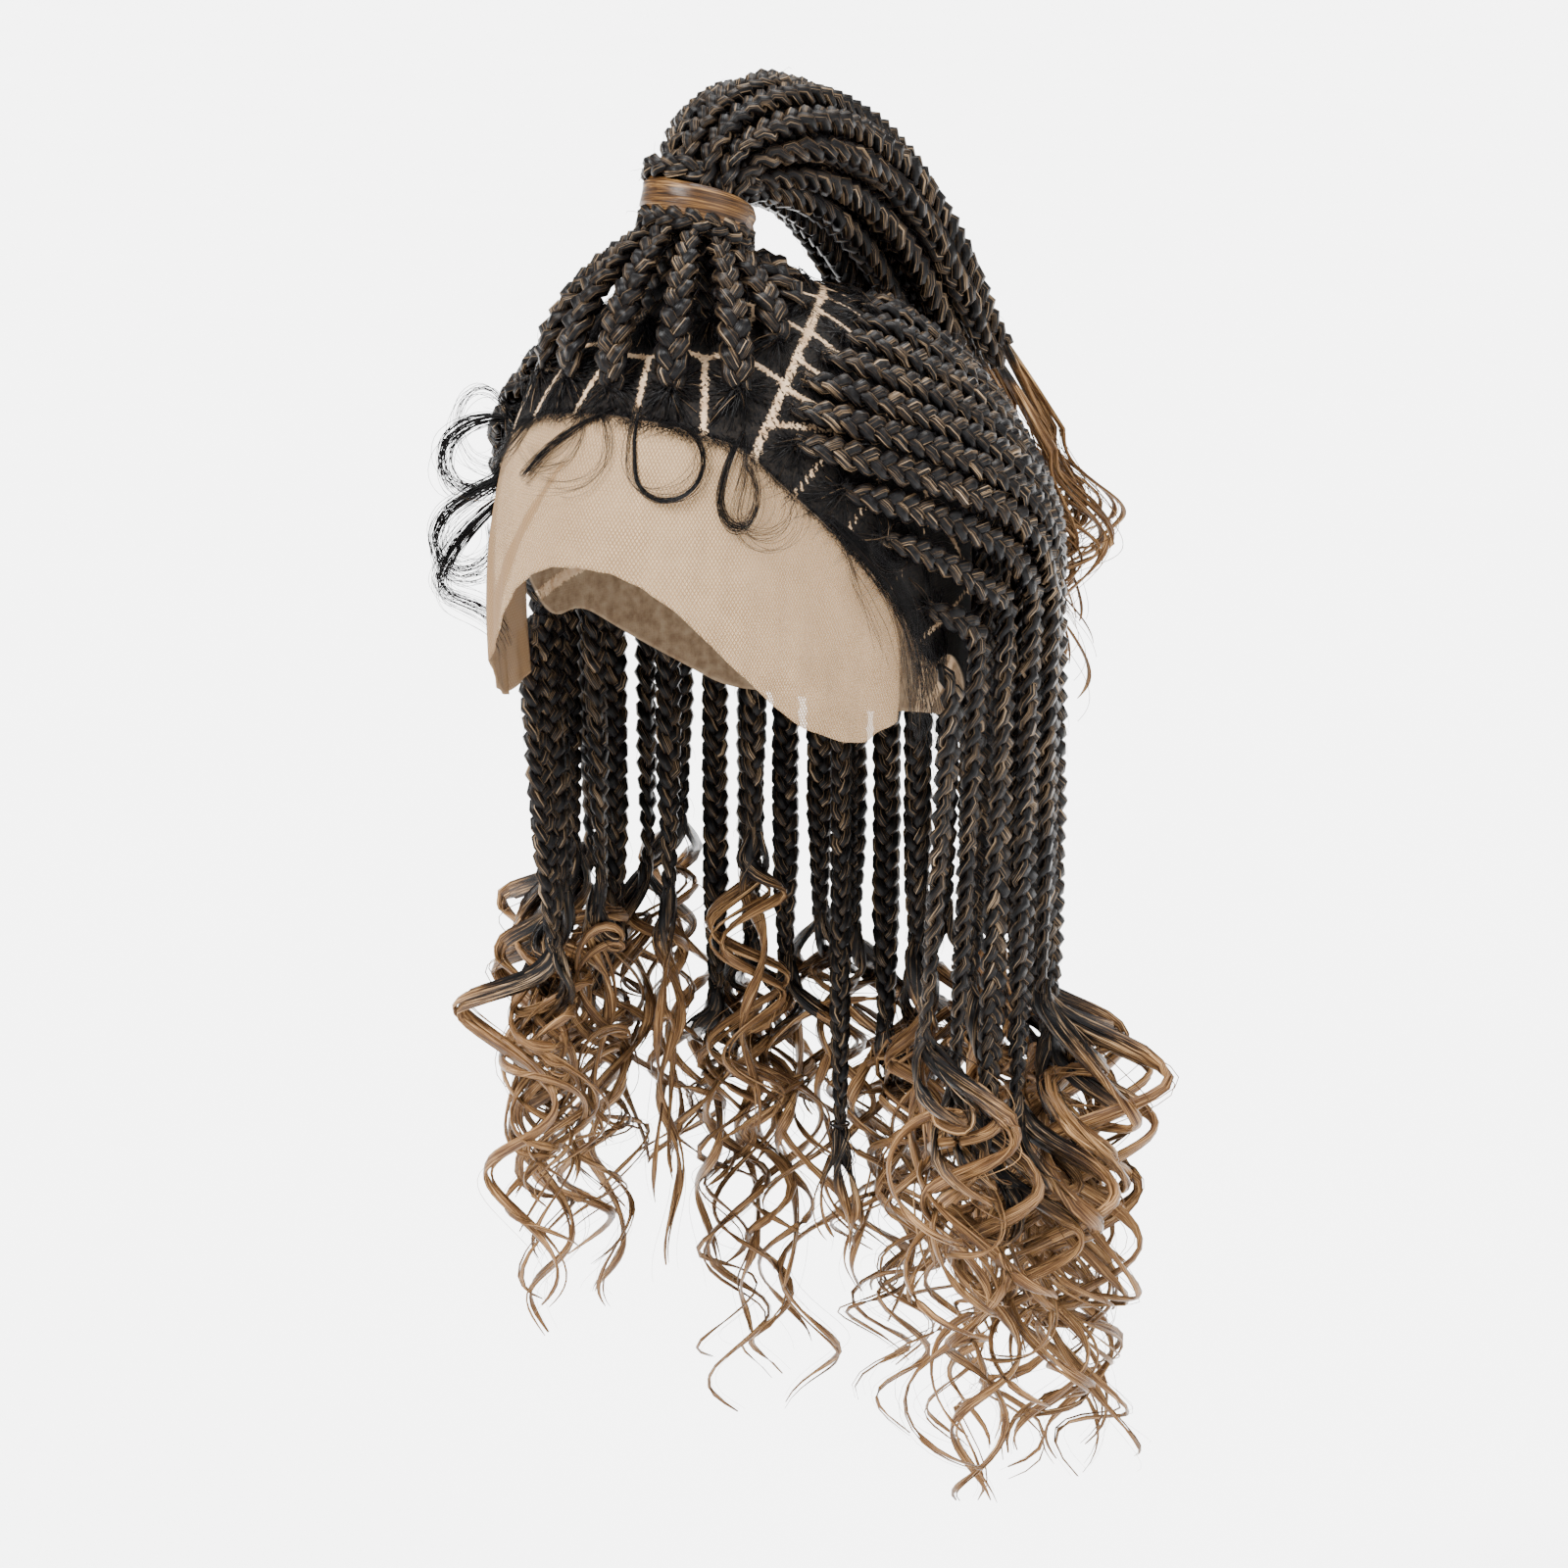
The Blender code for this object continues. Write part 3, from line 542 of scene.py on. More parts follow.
def hanging_path(root, hang_azimuth, standoff, plait_drop):
    """The middle of a braid that runs down the head from its root, then hangs to the end of its plait.
    Each row holds a point and the direction off the head there."""
    lifted = blend(0.75, 1.0, smooth((folded(hang_azimuth) - PILED_AZIMUTH) / 30))
    ease = blend(EAR_EASE, BACK_EASE, smooth(folded(hang_azimuth) / EASE_AZIMUTH))
    share = np.linspace(0, 1, 50)
    azimuth = blend(root[0], hang_azimuth, 1 - (1 - share) ** ease)
    level = blend(root[1], max(HANG_LEVEL, root[1] + 0.25), share)
    seat = blend(CAP_WALL + BRAID_THICKNESS / 2, CAP_WALL + BRAID_THICKNESS, smooth((share - 0.3) / 0.3))
    off = blend(seat, standoff, smooth((share - 0.02) / lifted))
    run = np.concatenate([head_point(azimuth, level, off), head_normal(azimuth, level)], 1)
    out = head_normal(hang_azimuth, 1.0)
    drift = FRONT_DRIFT * max(0.0, 1 - folded(hang_azimuth) / 30)
    share = np.linspace(0, 1, 20)[1:, None]
    fall = run[-1, :3] * (1 - share * [0, 0, 1]) - share * [0, 0, plait_drop] - out * drift * share
    fall = np.concatenate([fall, np.broadcast_to(out, fall.shape)], 1)
    return along_path(np.concatenate([run, fall]), STRAND_STEP), out


knots = []
DARK_LENGTH = 0.062
# One outer and one under braid hang longer, tied with an elastic: which, by how much, how slim
LONG_FALL, LONG_UNDER = (2, 0.036, 0.92), (4, 0.115, 0.75)
FALL_CURLS, UNDER_CURLS = 5, 3


def from_ends(path):
    """Distance of each point of an evenly spaced path from its first point, and from its last."""
    steps = np.arange(len(path))
    return steps * STRAND_STEP, (len(path) - 1 - steps) * STRAND_STEP


def hanging_braid(name, node, root, hang_azimuth, standoff, plait_drop, curl, sway, count, skip, slim=1.0):
    """A whole braid: its plait, loose short hairs and curled end."""
    course, out = hanging_path(root, hang_azimuth, standoff, plait_drop)
    course = course[int(skip / STRAND_STEP) :]
    path, facing = course[:, :3], unit(course[:, 3:])
    gone = np.linspace(0, 1, len(path))
    from_root, from_end = from_ends(path)
    taper = slim * blend(0.55, 1.0, smooth(from_root / 0.014)) * blend(0.62, 1.0, smooth(from_end / 0.05))
    path = path - facing * (0.0026 * (1 - smooth(from_root / 0.012)))[:, None]
    turned = hair.uniform(-0.9, 0.9) * smooth((gone - 0.3) * 2.2)
    knots.append((path[0], facing[0]))
    strands = plait(path, facing, BRAID_WIDTH / 2 * taper, BRAID_THICKNESS / 2 * taper, turned)
    groups = [(strands, 0.0), (fuzz(path, facing, BRAID_THICKNESS / 2, 50), -0.5)]
    if slim < 1:
        turn = np.linspace(0, 6.5, 24)
        tie = path[-3] + 0.0036 * np.stack([np.cos(turn), np.sin(turn), 0.01 * turn], -1)
        groups.append((tubes(tie[None], np.array([0, 0, 1.0]), 0.0006, 0.0006, 5), 0.0))
    length, reach = curl
    at_back = np.sin(np.radians(hang_azimuth)) > 0.8
    curl_start, longest = path[-1] + [0, 0, 0.004], 1.10 + 0.35 * at_back
    groups += curls(curl_start, out, length, reach, sway, count, DARK_LENGTH, longest)
    points, faces, attributes = joined(groups)
    piece = add_mesh(name, points, faces, braid_finish, attributes)
    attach(piece, "root")
    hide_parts(node)


fall_roots = np.concatenate([FALL_ROOTS, FALL_ROOTS[::-1] * [-1, 1] + [180, 0]])
for i, azimuth in enumerate(spread_azimuths(0.0, 180.0, fall_standoff, len(fall_roots))):
    side_share = RIGHT_SIDE_SHORTENING if azimuth > 130 else 1.0
    drop = PLAIT_DROP * PLAIT_SHARES[i % 8] * side_share
    curl = (CURL_LENGTH * CURL_SHARES[i % 7], CURL_REACH * REACH_SHARES[i % 5])
    longer = LONG_FALL[1] * (i == LONG_FALL[0])
    curl = (curl[0] - longer, curl[1])
    label = f"{i + 1:02d}"
    names, slim = ("fall_plait_" + label, "fall_braid_" + label), LONG_FALL[2] if longer else 1.0
    place = (fall_roots[i], azimuth, fall_standoff(azimuth), drop + longer)
    hanging_braid(*names, *place, curl, CURL_SWAY, FALL_CURLS, ROOT_SKIP, slim)

first, last = UNDER_FIRST_AZIMUTH, 180 - UNDER_FIRST_AZIMUTH
for i, azimuth in enumerate(spread_azimuths(first, last, lambda at: UNDER_STANDOFF + 0 * at, UNDER_BRAIDS)):
    drop = UNDER_PLAIT_DROP * PLAIT_SHARES[(i + 3) % 8]
    longer = LONG_UNDER[1] * (i == LONG_UNDER[0])
    curl = (CURL_LENGTH * CURL_SHARES[(i + 2) % 7] - 0.8 * longer, CURL_REACH * UNDER_REACH)
    label = f"{i + 1:02d}"
    names, slim = ("under_plait_" + label, "under_braid_" + label), LONG_UNDER[2] if longer else 1.0
    place = ((azimuth, UNDER_LEVEL), azimuth, UNDER_STANDOFF, drop + longer)
    hanging_braid(*names, *place, curl, CURL_SWAY, UNDER_CURLS, 0.0, slim)

# ------------------------------------------------------------------ ponytail braids
# The braids of the top section are drawn up into one bundle, pass through the band, arch over and fall
# behind the head. Their loose ends are straighter and reach out in a few open curls.
BUNDLE_BRAID, BUNDLE_GAP, ARCH_SPREAD, ARCH_HEIGHT, ARCH_BRAID = 0.0064, 0.0004, 1.90, 1.50, 0.0096
OUTER_BRAIDS, INNER_BRAIDS = 11, 5
# x, y, z of the bundle's middle, and its spread from the band's size to the arch's
PONYTAIL_ROUTE = np.array(
    [(0.000, -0.0268, 0.0120, 0.00), (0.000, -0.0245, 0.0185, 0.00), (0.000, -0.0220, 0.0255, 0.00)]
    + [(0.000, -0.0188, 0.0345, 0.00), (0.000, -0.0140, 0.0412, 0.15), (0.000, 0.0010, 0.0455, 0.60)]
    + [(0.001, 0.0260, 0.0450, 1.00), (0.002, 0.0560, 0.0350, 1.00), (0.003, 0.0840, 0.0180, 1.00)]
    + [(0.004, 0.1080, -0.0060, 1.00), (0.006, 0.1280, -0.0300, 0.85), (0.009, 0.1470, -0.0520, 0.90)]
    + [(0.014, 0.1640, -0.0780, 1.05)]
)
BAND_STOP, ARCH_END_STOP = 2, 10
PONYTAIL_REACH, PONYTAIL_CURL_LENGTH, PONYTAIL_CURL_WAY = 0.0150, 0.070, unit(np.array([0.75, 0.65, 0.0]))


def route_point(position):
    """Middle, forward direction and spread of the ponytail at positions counted in stops: a cubic between
    neighbouring stops whose slope at each is half the way between the stops before and after it."""
    position = np.atleast_1d(np.asarray(position, float))
    stops = PONYTAIL_ROUTE
    padded = np.concatenate([[2 * stops[0] - stops[1]], stops, [2 * stops[-1] - stops[-2]]])
    at = np.minimum(position.astype(int), len(stops) - 2)
    share = (position - at)[:, None]
    p0, p1, p2, p3 = (padded[at + k][:, :3] for k in range(4))
    a, b, c = p2 - p0, 2 * p0 - 5 * p1 + 4 * p2 - p3, 3 * p1 - p0 - 3 * p2 + p3
    point = p1 + 0.5 * (a * share + b * share**2 + c * share**3)
    forward = unit(a + 2 * b * share + 3 * c * share**2)
    spread = blend(stops[at, 3], stops[at + 1, 3], share[:, 0])
    return point, forward, spread


def in_bundle(position, slot, radius):
    """Places of a braid in the ponytail, the direction off it and its half width there."""
    middle, forward, spread = route_point(position)
    across = np.array([1.0, 0, 0])
    up = unit(np.cross(across, forward))
    turn = np.radians(slot)
    sideways = radius * np.cos(turn) * blend(1, ARCH_SPREAD, spread)
    upwards = -radius * np.sin(turn) * blend(1, ARCH_HEIGHT, spread)
    place = middle + across * sideways[:, None] + up * upwards[:, None]
    return place, up, blend(BUNDLE_BRAID, ARCH_BRAID, spread) / 2


inner_radius = (BUNDLE_BRAID + BUNDLE_GAP) / 2 / np.sin(np.pi / INNER_BRAIDS) * 1.02
outer_radius = max(
    (BUNDLE_BRAID + BUNDLE_GAP) / 2 / np.sin(np.pi / OUTER_BRAIDS) * 1.02,
    inner_radius + BUNDLE_BRAID + BUNDLE_GAP,
)


def top_path(root, radius, joins, lifted):
    """The middle of a ponytail braid, up the cap, through the band and over the arch."""
    across, along, slot = root
    azimuth, level = plan_to_head(across, along)
    start = head_point(azimuth, level, CAP_WALL + BRAID_THICKNESS / 2)
    normal = head_normal(azimuth, level)
    neck, _, neck_half = in_bundle(joins, slot, radius)
    share = np.linspace(0, 0.95, 24)[:, None]
    lift = np.linalg.norm(neck[0] - start) * lifted * np.sin(np.pi * share) ** 0.8
    out = unit(blend(normal, np.array([0, 0, 1.0]), 0.4 * share))
    half = blend(TOP_BRAID_WIDTH / 2, neck_half[0], share)
    climb = np.concatenate([blend(start, neck[0], share) + out * lift, out, half], 1)
    place, up, half = in_bundle(np.linspace(joins, ARCH_END_STOP + 0.6, 90), slot, radius)
    arch = np.concatenate([place, up, half[:, None]], 1)
    return along_path(np.concatenate([climb, arch]), STRAND_STEP)


# Each root with its ring in the bundle, the stop where it joins and how far it lifts on the way
top_roots = []
for root in OUTER_ROOTS:
    front = 0.5 - 0.5 * np.sin(np.radians(root[2]))
    top_roots.append((root, outer_radius, blend(0.2, 1, front), blend(0.04, 0.14, front)))
top_roots += [(root, inner_radius, 0.0, 0.01) for root in INNER_ROOTS]
TOP_CURL_SHARES = [0.8, 1.0, 0.9, 1.1]
for i, (root, radius, joins, lifted) in enumerate(top_roots):
    course = top_path(root, radius, joins, lifted)
    path, facing, half = course[:, :3], unit(course[:, 3:6]), course[:, 6]
    from_root, from_end = from_ends(path)
    taper = blend(0.72, 1.0, smooth(from_root / 0.012)) * blend(0.7, 1.0, smooth(from_end / 0.03))
    path = path - facing * (0.0024 * (1 - smooth(from_root / 0.010)))[:, None]
    knots.append((path[0], facing[0]))
    thick = np.minimum(half * 0.98, blend(BRAID_THICKNESS / 2, half, smooth(from_root / 0.04)))
    turned = hair.uniform(-0.5, 0.5) * smooth(from_root / 0.1)
    strands = plait(path, facing, half * taper * 1.08, thick * taper * 1.08, turned)
    groups = [(strands, 0.0), (fuzz(path, facing, 0.0036, 50), -0.5)]
    tail, _, _ = in_bundle(np.linspace(ARCH_END_STOP + 0.5, 12, 20), root[2], radius)
    tail = np.repeat(tail[None], 4, axis=0)
    length = PONYTAIL_CURL_LENGTH * TOP_CURL_SHARES[i % 4]
    share = np.linspace(0, 1, 50)
    first = (np.arange(4) == 0)[:, None]
    own = lambda low, high: np.where(first, 1.0, hair.uniform(low, high, (4, 1)))
    fallen = length * share * own(0.7, 1.35)
    turn = 2 * np.pi * fallen / (CURL_PITCH * own(0.62, 0.9))
    grow = smooth(fallen / CURL_PITCH * 1.8) * (1 - 0.4 * share)
    side = np.cross((0, 0, 1.0), PONYTAIL_CURL_WAY)
    swings = PONYTAIL_REACH * own(0.5, 1.5) * grow * (1 - np.cos(turn))
    sways = hair.uniform(-0.014, 0.014, (4, 1)) * grow * np.sin(turn)
    loops = np.where(first, 0, hair.uniform(0.002, 0.014, (4, 1))) * grow * np.sin(turn + 1.2)
    loose = tail[:, -1:] + PONYTAIL_CURL_WAY * swings[..., None] + side * sways[..., None]
    loose = loose + (loops - fallen)[..., None] * np.array([0, 0, 1.0])
    ends = np.concatenate([tail, loose[:, 1:]], 1)
    along_share = np.linspace(0, 1, ends.shape[1])
    ends = ends + hair.normal(size=(4, 1, 3)) * 0.0020 * np.sin(np.pi * along_share * 0.9)[:, None]
    wide = blend(0.0031, 0.0010, along_share**0.9) * hair.uniform(0.65, 1.0, (4, 1))
    wide = wide * smooth((1.04 - along_share) * 9)
    shade = np.broadcast_to(smooth(along_share * 5 + 0.1), (4, len(along_share)))
    tail_out = np.array([0.2, 0.5, 1.0])
    groups.append((tubes(ends, tail_out, wide, wide * 0.42, 6), np.repeat(shade, 6, axis=1)))
    fine = 0.00026 * (1 - 0.5 * along_share)
    stray = hair.normal(size=(8, 1, 3)) * 0.0035 * smooth(along_share * 2)[:, None]
    wisps = np.repeat(ends, 2, axis=0) + stray
    wisp_shade = np.repeat(np.repeat(shade, 2, axis=0), 3, axis=1)
    groups.append((tubes(wisps, tail_out, fine, fine, 3, 0.5), wisp_shade))
    points, faces, attributes = joined(groups)
    label = f"{i + 1:02d}"
    piece = add_mesh("top_plait_" + label, points, faces, braid_finish, attributes)
    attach(piece, "root")
    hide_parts("top_braid_" + label)

# ------------------------------------------------------------------ coils round the ponytail's neck
# Two plaits of the same hair lie round the neck of the bundle, one under the band and one above it, with
# their ends tucked in. They cover the band's elastic.
COIL_HALF_WIDTH, COIL_HALF_THICKNESS = 0.0043, 0.0032
coils = []
for stop, start_turn, turns in ((0.95, 150, 1.08), (3.15, 60, 0.80)):
    middle, axis, _ = (value[0] for value in route_point(stop))
    across = np.array([1.0, 0, 0])
    share = np.linspace(0, 1, 70)
    turn = np.radians(start_turn) + 2 * np.pi * turns * share
    away = across * np.cos(turn)[:, None] + np.cross(across, axis) * np.sin(turn)[:, None]
    tucked = smooth(share * 7) * smooth((1 - share) * 7)
    radius = outer_radius + BUNDLE_BRAID / 2 + COIL_HALF_THICKNESS * (1.6 * tucked - 0.9)
    path = middle + away * radius[:, None] + axis * (0.0034 * (share - 0.5))[:, None]
    coils.append((plait(path, away, COIL_HALF_WIDTH, COIL_HALF_THICKNESS, 0 * share), 0.0))
    coils.append((fuzz(path, away, COIL_HALF_THICKNESS, 30), 0.0))
points, faces, attributes = joined(coils)
coil = add_mesh("neck_coils", points, faces, braid_finish, attributes)
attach(coil, "root")

# ------------------------------------------------------------------ lace cap shell and boxes of hair
# The cap itself, with its bare lines found as the places midway between neighbouring knots, and the short
# hair that runs from each box in to its knot.
PARTING = np.array(
    [(47, -75), (47, -66), (47.5, -52), (46, -38), (42, -21)]
    + [(38, -10), (31.5, 6), (23, 22), (12, 31), (0, 34)]
) / 1000
PARTING_HALF, BOX_LINE_HALF = 0.0007, 0.0004


def distance_to_parting(points):
    """Distance to the horseshoe parting on the cap, and whether points lie inside it, in the top section."""
    line = np.concatenate([PARTING, PARTING[::-1][1:] * [-1, 1]])
    places = np.arange(0, len(line) - 0.99, 0.25)
    line = np.stack([np.interp(places, np.arange(len(line)), line[:, k]) for k in (0, 1)], -1)
    line = head_point(*plan_to_head(line[:, 0] * 2 / HEAD_WIDTH, line[:, 1] * 2 / HEAD_LENGTH), CAP_WALL)
    a, b = line[:-1], line[1:]
    from_start = points[:, None] - a
    share = np.clip((from_start * (b - a)).sum(-1) / ((b - a) ** 2).sum(-1), 0, 1)
    nearest = np.linalg.norm(from_start - (b - a) * share[..., None], axis=-1).min(1)
    middle = np.array([0, -0.035])
    turn = np.arctan2(points[:, 1] - middle[1], np.abs(points[:, 0]))
    line_turn = np.arctan2(PARTING[:, 1] - middle[1], PARTING[:, 0])
    reach = np.interp(turn, line_turn, np.linalg.norm(PARTING - middle, axis=1))
    inside = np.linalg.norm(points[:, :2] - middle, axis=1) < np.where(turn < line_turn[0], 9, reach)
    return nearest, inside


knot_points = np.array([place for place, _ in knots])
knot_is_top = np.arange(len(knots)) >= len(knots) - len(top_roots)


def box_of(points):
    """The knot that each point of the cap belongs to, and its distance from the nearest bare line."""
    parting, inside = distance_to_parting(points)
    away = np.linalg.norm(points[:, None] - knot_points, axis=-1)
    away = np.where(knot_is_top == inside[:, None], away, 9.0)
    order = np.argsort(away, axis=1)[:, :4]
    rows = np.arange(len(points))
    near = away[rows, order[:, 0]]
    edge = np.full(len(points), 9.0)
    for k in (1, 2, 3):
        other = away[rows, order[:, k]]
        apart = np.linalg.norm(knot_points[order[:, 0]] - knot_points[order[:, k]], axis=-1)
        middle = (other**2 - near**2) / (2 * np.maximum(apart, 1e-6))
        edge = np.where(other < 9, np.minimum(edge, middle), edge)
    return order[:, 0], np.minimum(edge - BOX_LINE_HALF, parting - PARTING_HALF), near


cap_finish = Finish("cap_lace", Roughness=0.8, Specular_IOR_Level=0.08)
from_line = cap_finish.attribute("from_line")
bareness = cap_finish.attribute("bareness")
spot = cap_finish.node("ShaderNodeTexCoord", output="Object")
weave_inputs = {"Vector": spot, "Scale": 1100.0, "Randomness": 0.35}
weave = cap_finish.node("ShaderNodeTexVoronoi", {"feature": "F1"}, weave_inputs)
mottle = cap_finish.noise(spot, 260.0, 3.0)
ragged = cap_finish.noise(spot, 1000.0, 2.0)
cap_colour = cap_finish.ramp(mottle, [(0.3, (0.20, 0.125, 0.070)), (0.7, (0.36, 0.26, 0.165))])
CAP_HAIR_TONES = [(0.35, (0.0012, 0.0012, 0.0014)), (0.7, (0.008, 0.006, 0.0045))]
hair_colour = cap_finish.ramp(cap_finish.noise(spot, 900.0, 2.0), CAP_HAIR_TONES)
covered = (from_line * 1000 + (ragged - 0.5) * 3.4).step(0.2, 0.9) * bareness
cap_finish.wire(
    Base_Color=cap_finish.mix(covered, cap_colour, hair_colour),
    Normal=cap_finish.bump(weave, 0.5, 0.0003),
)

# Two thirds of the columns stand in the front half, where the bare lines show
even = np.linspace(0, 360, CAP_COLUMNS, endpoint=False)
azimuths = even - 90 - 19 * np.sin(np.radians(even))
depths = np.linspace(0.02, 1, CAP_ROWS)
cap_levels = level_at(eased(CAP_EDGE, azimuths)) * depths[:, None]
cap_azimuths = np.broadcast_to(azimuths, cap_levels.shape)
outer = head_point(cap_azimuths, cap_levels, CAP_WALL + 0 * cap_levels).reshape(-1, 3)
inner = head_point(cap_azimuths, cap_levels, 0 * cap_levels).reshape(-1, 3)
total = CAP_ROWS * CAP_COLUMNS
top_ring = np.arange(CAP_COLUMNS)
rim = (CAP_ROWS - 1) * CAP_COLUMNS + top_ring
outer_quads = grid_faces(CAP_ROWS, CAP_COLUMNS, True)
inner_quads = grid_faces(CAP_ROWS, CAP_COLUMNS, True, total)[:, ::-1]
rim_quads = np.stack([rim, rim + total, np.roll(rim, -1) + total, np.roll(rim, -1)], -1)
_, edge, near = box_of(outer)
points = np.concatenate([outer, inner])
cap = add_mesh(
    "cap_with_boxes",
    points,
    [outer_quads, inner_quads, rim_quads, top_ring[None], top_ring[None, ::-1] + total],
    cap_finish,
    {"from_line": np.concatenate([edge, edge - 0.0012]), "bareness": np.repeat([1.0, 0.6], total)},
)
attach(cap, "root")
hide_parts("lace_cap")

ROOT_HAIRS, ROOT_HAIR_RADIUS = 6000, 0.00016
picked = hair.integers(0, total, ROOT_HAIRS * 4)
spots = outer[picked] + hair.uniform(-0.0008, 0.0008, (len(picked), 3)) * [1, 1, 0.6]
knot, edge, near = box_of(spots)
keep = (edge > 0.0001) & (near < 0.017)
keep &= hair.uniform(0, 1, len(spots)) < np.clip(0.35 + near / 0.012, 0, 1)
spots, knot, picked = spots[keep][:ROOT_HAIRS], knot[keep][:ROOT_HAIRS], picked[keep][:ROOT_HAIRS]
normals = head_normal(cap_azimuths.ravel()[picked], cap_levels.ravel()[picked])
knot_outs = np.array([out for _, out in knots])[knot]
ends = knot_points[knot] + knot_outs * hair.uniform(-0.0005, 0.0022, (len(knot), 1))
ends = ends + hair.normal(size=(len(knot), 3)) * 0.0009
share = np.linspace(0, 1, 4)[None, :, None]
bow = 0.0011 * np.sin(np.pi * share) * hair.uniform(0.4, 1.4, (len(spots), 1, 1))
bends = hair.normal(size=(len(spots), 1, 1))
side_bend = unit(np.cross(ends - spots, normals))[:, None] * bends * 0.0006 * np.sin(np.pi * share)
paths = blend(spots[:, None], ends[:, None], share) + normals[:, None] * bow + side_bend
thin = np.broadcast_to(ROOT_HAIR_RADIUS * (1 - 0.25 * share[..., 0]), (len(spots), 4))
points, faces, attributes = joined([(tubes(paths, normals[:, None], thin, thin, 3, 0.25), -0.8)])
root_hair = add_mesh("root_hair", points, faces, braid_finish, attributes)
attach(root_hair, "root")

# ------------------------------------------------------------------ lace front
# A sheer tan net that carries the hairline onto the forehead. It is stretched over the brow, its lower edge
# is cut in waves, and it lies in two folds at the wearer's right temple.
LACE_WALL, LACE_COLUMNS, LACE_ROWS, LACE_END_AZIMUTH = 0.0005, 170, 40, -10.0
# Azimuth and drop of the cut edge
LACE_EDGE = np.array(
    [(-90, 0.84), (-78, 0.86), (-66, 0.96), (-50, 1.20), (-38, 1.38), (-22, 1.48), (-10, 1.42)]
)
# Azimuth, half width in degrees and height of each fold, in braid thicknesses
LACE_FOLDS = [(-134, 3.0, 0.30), (-160, 4.0, 0.35)]
NET_PITCH = 0.0013

lace_finish = Finish("front_lace", Roughness=0.75, Specular_IOR_Level=0.1)
net = lace_finish.attribute("net", "Vector")
across, down, hairline = (
    lace_finish.node("ShaderNodeSeparateXYZ", inputs={0: net}, output=which) for which in (0, 1, 2)
)
one_way = ((across + down * 0.62) * (1 / NET_PITCH)).fraction() - 0.5
other_way = ((across - down * 0.62) * (1 / NET_PITCH)).fraction() - 0.5
threads = one_way.size().larger(other_way.size())
doubled = lace_finish.attribute("doubled")
knots_dots = lace_finish.noise(net, 1500.0, 1.0)
dotted = (knots_dots - hairline * 46).step(0.50, 0.56)
LACE_TONES = [(0.3, (0.120, 0.070, 0.034)), (0.7, (0.165, 0.102, 0.053))]
tone = lace_finish.ramp(lace_finish.noise(net, 60.0, 2.0), LACE_TONES)
woven = threads.step(0.27, 0.40)
net_colour = lace_finish.mix(woven, (0.42, 0.295, 0.175), tone)
# Painted shade in the net's colour, which also makes it more opaque. At its end by the right temple the net is darker
# tan where it lies doubled over: partly a real second layer of lace and partly painted shade of the fold. A painted
# shadow line also runs along a tuck on the right of the brow.
net_colour = lace_finish.mix(doubled * 0.9, net_colour, (0.100, 0.056, 0.025))
lace_finish.wire(
    Base_Color=lace_finish.mix(dotted, net_colour, (0.004, 0.003, 0.0025)),
    Alpha=(woven * 0.48 + 0.42).larger(doubled).larger(dotted),
    Normal=lace_finish.bump(threads, 0.3, 0.0002),
)

azimuths = np.linspace(LACE_END_AZIMUTH, -180 - LACE_END_AZIMUTH, LACE_COLUMNS)
tops = eased(CAP_EDGE, azimuths) + 0.0006 / CROWN_HEIGHT
scallop = 0.004 * np.abs(np.sin(np.radians(azimuths) * 22))
bottoms = eased(LACE_EDGE, azimuths) + scallop
share = np.linspace(0, 1, LACE_ROWS)
drops = blend(tops[:, None], bottoms[:, None], share)
lace_levels = level_at(drops)
lace_azimuths = np.broadcast_to(azimuths[:, None], lace_levels.shape)
lift = sum(
    np.clip(1 - np.abs(lace_azimuths - at) / half, 0, 1) * height * BRAID_THICKNESS * share
    for at, half, height in LACE_FOLDS
)
lift = lift + 0.0003 * (1 + np.sin(lace_azimuths * 0.9 + drops * 9)) * share
wrinkled = 2.0 * smooth((drops - 0.75) * 3) * smooth((lace_azimuths + 62) / 20)
wrinkled = wrinkled * smooth((-8 - lace_azimuths) / 6)
lift = lift + 0.0007 * wrinkled * (1 + np.sin(lace_azimuths * 0.32 - drops * 15)) / 2
outer = head_point(lace_azimuths, lace_levels, lift + LACE_WALL)
inner = head_point(lace_azimuths, lace_levels, lift)
run_across = lengths_along(outer[:, 10])[:, None] * np.ones(LACE_ROWS)
steps_down = np.linalg.norm(np.diff(outer, axis=1), axis=2)
run_down = np.concatenate([np.zeros((LACE_COLUMNS, 1)), np.cumsum(steps_down, axis=1)], 1)
# Down the cloth by the drop itself, so that the net's rows stay level right across
level_run = drops * CROWN_HEIGHT
net_map = np.stack([run_across, level_run, run_down], -1).reshape(-1, 3)
# The net's painted shade, also used for its opacity. Its end by the right temple lies doubled over, which is partly a
# real second layer and partly painted shade. A painted shadow line runs along a tuck on the right of the brow.
lace_twofold_and_shade = smooth((-126 - lace_azimuths) / 6 + share - 0.6)
from_tuck_shadow = np.abs(lace_azimuths + 100 + 50 * (drops - 0.53)) / (0.6 + 6.5 * (drops - 0.50))
lace_twofold_and_shade = 0.93 * np.maximum(lace_twofold_and_shade, smooth(2.2 - 2 * from_tuck_shadow) * (drops > 0.52))
size = LACE_COLUMNS * LACE_ROWS
index = np.arange(size).reshape(LACE_COLUMNS, LACE_ROWS)
loop = np.concatenate([index[:, 0], index[-1, 1:], index[-2::-1, -1], index[0, -2:0:-1]])
ahead = np.roll(loop, -1)
quads = grid_faces(LACE_COLUMNS, LACE_ROWS, False)
inner_quads = grid_faces(LACE_COLUMNS, LACE_ROWS, False, size)[:, ::-1]
